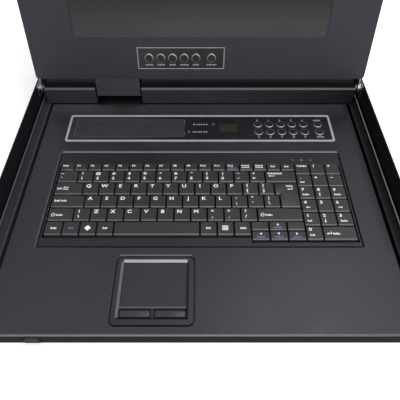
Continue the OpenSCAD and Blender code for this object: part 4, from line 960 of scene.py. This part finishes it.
# Words, drawn as rows of strokes: place, number, height, pitch and width of the strokes
PANEL_WORDS = ((COMMAND_X - 4.4, ROW_UP + 6.3, 6, 2.7, 1.5, 1.05),
               (COMMAND_X - 4.4, ROW_LOW - 10.5, 6, 2.7, 1.5, 1.05),
               (-8.6, ROW_UP - 1.2, 6, 2.2, 3.2, 2.1), (-9.0, ROW_LOW - 1.2, 6, 2.2, 3.2, 2.1))
SMALL_LOW_SHARE = 0.75
# The label film, and the line along its edge, which is open at the right
FILM_X0, FILM_X1, FILM_Y0, FILM_Y1 = -157, -19.6, 254, 285
FILM_THICK, FILM_LINE, FILM_BREAK = 0.12, 0.5, 9
# The menu: places of its buttons, strokes of each button's word, and the line round it
MENU_X = [-63.3 + 14.55 * i for i in range(5)] + [14.3]
MENU_Y, MENU_FACE = 287.6, 22.5
MENU_STROKES = (6, 6, 5, 7, 5, 8)
MENU_WORD_DX, MENU_WORD_Y = 0.2, 294.9
MENU_WORD_HIGH, MENU_WORD_STEP, MENU_WORD_STROKE = 2.0, 1.6, 1.15
MENU_X0, MENU_X1, MENU_HALF, MENU_LINE = -77.2, 29.8, 13.2, 1.0
# The raised rim round a button: radius, reach of its tip, width, height, and its rings in shares of these two
RIM_RADIUS, RIM_TIP, RIM_WIDE, RIM_HIGH = 5.6, 6.3, 1.1, 0.6
RIM_RINGS = ((0.0, 0.0), (0.4, 0.55), (0.75, 0.9), (0.95, 1.0), (1.0, 0.0))
TIP_SHARE = 1.15
RIM_STEPS = 40


def drop_loop(cx, cy, radius, tip, side):
    """Outline of a disc with a pointed tip towards +y or -y."""
    reach = math.acos(radius / tip)
    start = math.pi / 2 + reach
    out = [(0.0, tip)]
    for i in range(RIM_STEPS + 1):
        a = start + (2 * math.pi - 2 * reach) * i / RIM_STEPS
        out.append((radius * math.cos(a), radius * math.sin(a)))
    return [(cx + x, cy + y * side) for x, y in (out if side > 0 else reversed(out))]


def button_rim(mesh, cx, cy, side, base, place, up=1):
    """Raised rim round a button."""
    rows = []
    for f, rise in RIM_RINGS:
        loop = drop_loop(cx, cy, RIM_RADIUS - RIM_WIDE * f, RIM_TIP - RIM_WIDE * f * TIP_SHARE, side)
        rows.append([place(x, y, base + up * RIM_HIGH * rise) for x, y in loop])
    mesh.rings(rows, False, False)


def small_word(mesh, base, place, x, y, count, high, step, wide):
    """A row of short strokes in the place of a word; place is at or lid."""
    for i in range(count):
        x0, tall = x + i * step, high * SMALL_LOW_SHARE if i % 3 == 1 else high
        corners = ((x0, y), (x0 + wide, y), (x0 + wide, y + tall), (x0, y + tall))
        mesh.add([place(u, v, base) for u, v in corners], [(0, 1, 2, 3)])


def put_glyph(mesh, text, x, y, size, base):
    verts, faces = glyph(text)
    mesh.add([at(x + u * size, y + v * size, base) for u, v in verts], faces)


def line(mesh, pts, wide, base, place):
    """Thin printed line through a list of points."""
    for p0, p1 in zip(pts, pts[1:]):
        mesh.add([place(x, y, base) for x, y in stroke(p0, p1, wide)], [(0, 1, 2, 3)])


def make_panel():
    rims, marks = Mesh(), Mesh()
    face = PANEL_FACE + PRINT_LIFT
    for y, side, digit_y, first in BUTTON_ROWS:
        for digit, x in enumerate(DIGITS_X, first):
            button_rim(rims, x, y, side, PANEL_FACE, at)
            put_glyph(marks, str(digit), x + DIGIT_DX, digit_y, DIGIT_HIGH, face)
        button_rim(rims, COMMAND_X, y, side, PANEL_FACE, at)
    for word in PANEL_WORDS:
        small_word(marks, face, at, *word)
    film, edge = Mesh(), Mesh()
    block(film, FILM_X0, FILM_X1, FILM_Y0, FILM_Y1, PANEL_FACE, PANEL_FACE + FILM_THICK)
    line(edge, [(FILM_X1, FILM_Y0 + FILM_BREAK), (FILM_X1, FILM_Y0), (FILM_X0, FILM_Y0), (FILM_X0, FILM_Y1),
                (FILM_X1, FILM_Y1), (FILM_X1, FILM_Y1 - FILM_BREAK)],
         FILM_LINE, PANEL_FACE + FILM_THICK + 2 * PRINT_LIFT, at)
    piece("label_film", film.verts, film.faces, FILM, "drawer")
    piece("label_line", edge.verts, edge.faces, DIM_INK, "drawer")
    piece("panel_rims", rims.verts, rims.faces, RING, "drawer", 40)
    piece("panel_marks", marks.verts, marks.faces, GREY_INK, "drawer")


def make_menu():
    rims, marks = Mesh(), Mesh()
    face = MENU_FACE - PRINT_LIFT
    for x, count in zip(MENU_X, MENU_STROKES):
        button_rim(rims, x, MENU_Y, -1, MENU_FACE, lid, -1)
        word_x = x - count * MENU_WORD_STEP / 2 + MENU_WORD_DX
        small_word(marks, face, lid, word_x, MENU_WORD_Y, count,
                   MENU_WORD_HIGH, MENU_WORD_STEP, MENU_WORD_STROKE)
    low, high = MENU_Y - MENU_HALF, MENU_Y + MENU_HALF
    corners = [(MENU_X0, low), (MENU_X1, low), (MENU_X1, high), (MENU_X0, high)]
    line(marks, corners + corners[:1], MENU_LINE, face, lid)
    piece("menu_rims", rims.verts, rims.faces, RING, "lid", 40)
    piece("menu_marks", marks.verts, marks.faces, GREY_INK, "lid")


# Signs of the keyboard's lamps, and touchpad buttons

SIGN_FACE, SIGN_Y, SIGN_HIGH = 16.45, 214.4, 2.6
SIGNS = {"1": 110.5, "A": 120.7}
# The sign that is an arrow towards the front: place, width and half length of its line, corners of its head
POINTER_X, POINTER_STROKE, POINTER_HALF = 131.4, 0.5, 1.6
POINTER_HEAD = ((-1.2, -0.2), (1.2, -0.2), (0, -2.0))
# The touchpad buttons: sides, height, round corners and rings (inset, z), and the peg below each
TOUCH_X = {"left": (-75.0, -45.5), "right": (-42.5, -13.0)}
TOUCH_Y0, TOUCH_Y1 = 17.5, 25.9
TOUCH_LOW, TOUCH_TOP = 12.7, 14.5
TOUCH_CORNER, TOUCH_STEPS, TOUCH_PARTS = 2.4, 5, 3
TOUCH_RINGS = ((0.7, TOUCH_LOW), (0.7, TOUCH_TOP - 0.5), (0.85, TOUCH_TOP - 0.15), (1.2, TOUCH_TOP))
PEG_RADIUS, PEG_FOOT, PEG_SIDES = 1.5, 10.4, 12


def make_lamp_marks():
    """Signs of the three lamps behind the number pad: a digit, a letter and an arrow."""
    marks = Mesh()
    for sign, x in SIGNS.items():
        put_glyph(marks, sign, x, SIGN_Y, SIGN_HIGH, SIGN_FACE)
    ends = [(POINTER_X, SIGN_Y - POINTER_HALF), (POINTER_X, SIGN_Y + POINTER_HALF)]
    line(marks, ends, POINTER_STROKE, SIGN_FACE, at)
    marks.add([at(POINTER_X + u, SIGN_Y + v, SIGN_FACE) for u, v in POINTER_HEAD], [(0, 2, 1)])
    piece("lamp_marks", marks.verts, marks.faces, GREY_INK, "drawer")


def make_touch_buttons():
    """The two keys in front of the touch surface, with round corners, a rolled edge and a peg below."""
    for side, (x0, x1) in TOUCH_X.items():
        mesh = Mesh()
        loop = [(x0, TOUCH_Y0), (x1, TOUCH_Y0), (x1, TOUCH_Y1), (x0, TOUCH_Y1)]
        rings = []
        for inset, z in TOUCH_RINGS:
            edge = rounded(loop, inset, TOUCH_CORNER - inset, TOUCH_STEPS)
            rings.append([at(p.x, p.y, z) for p in divided(edge, TOUCH_STEPS, TOUCH_PARTS)])
        mesh.rings(rings)
        turns = [2 * math.pi * k / PEG_SIDES for k in range(PEG_SIDES)]
        mid_x, mid_y = (x0 + x1) / 2, (TOUCH_Y0 + TOUCH_Y1) / 2
        mesh.rings([[at(mid_x + PEG_RADIUS * math.cos(a), mid_y + PEG_RADIUS * math.sin(a), z) for a in turns]
                    for z in (PEG_FOOT, TOUCH_LOW)])
        node = side + "_touch_button"
        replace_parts(piece(node + "_cap", mesh.verts, mesh.faces, PAD_BUTTON, node + "_body", 40), node)


# Stage

# How much the floor glows, half its side and its gap below the object (metres)
FLOOR_LIFT = 0.4
FLOOR_HALF, FLOOR_GAP = 4, 0.5 * MM


def make_stage():
    """A pale floor that glows a little for the rays that show it."""
    s = Shader("floor", rough=0.9)
    s.finish(s.mix(s.span(s.noise(scale=3, detail=2), 0.3, 0.7), (0.85, 0.85, 0.86), (0.88, 0.88, 0.88)))
    glow = s.add("ShaderNodeEmission")
    glow.inputs["Color"].default_value = (1, 1, 1, 1)
    s.link(s.product(background_rays(s.nt), FLOOR_LIFT), glow.inputs["Strength"])
    both = s.add("ShaderNodeAddShader")
    s.link(s.bsdf.outputs[0], both.inputs[0])
    s.link(glow.outputs[0], both.inputs[1])
    s.link(both.outputs[0], s.out.inputs[0])
    mesh = bpy.data.meshes.new("floor")
    h, z = FLOOR_HALF, CAD_LO.z - FLOOR_GAP
    mesh.from_pydata([(-h, -h, z), (h, -h, z), (h, h, z), (-h, h, z)], [], [(0, 1, 2, 3)])
    mesh.materials.append(s.mat)
    obj = bpy.data.objects.new("floor", mesh)
    bpy.context.scene.collection.objects.link(obj)


make_camera()
make_world()
for light in LIGHTS:
    area_light(*light)
make_stage()
dress_nodes()
make_keys()
make_legends()
make_keyboard_frame()
make_cable_cover()
make_panel()
make_lamp_marks()
make_touch_buttons()
make_menu()

bpy.context.scene.view_settings.view_transform = "Standard"
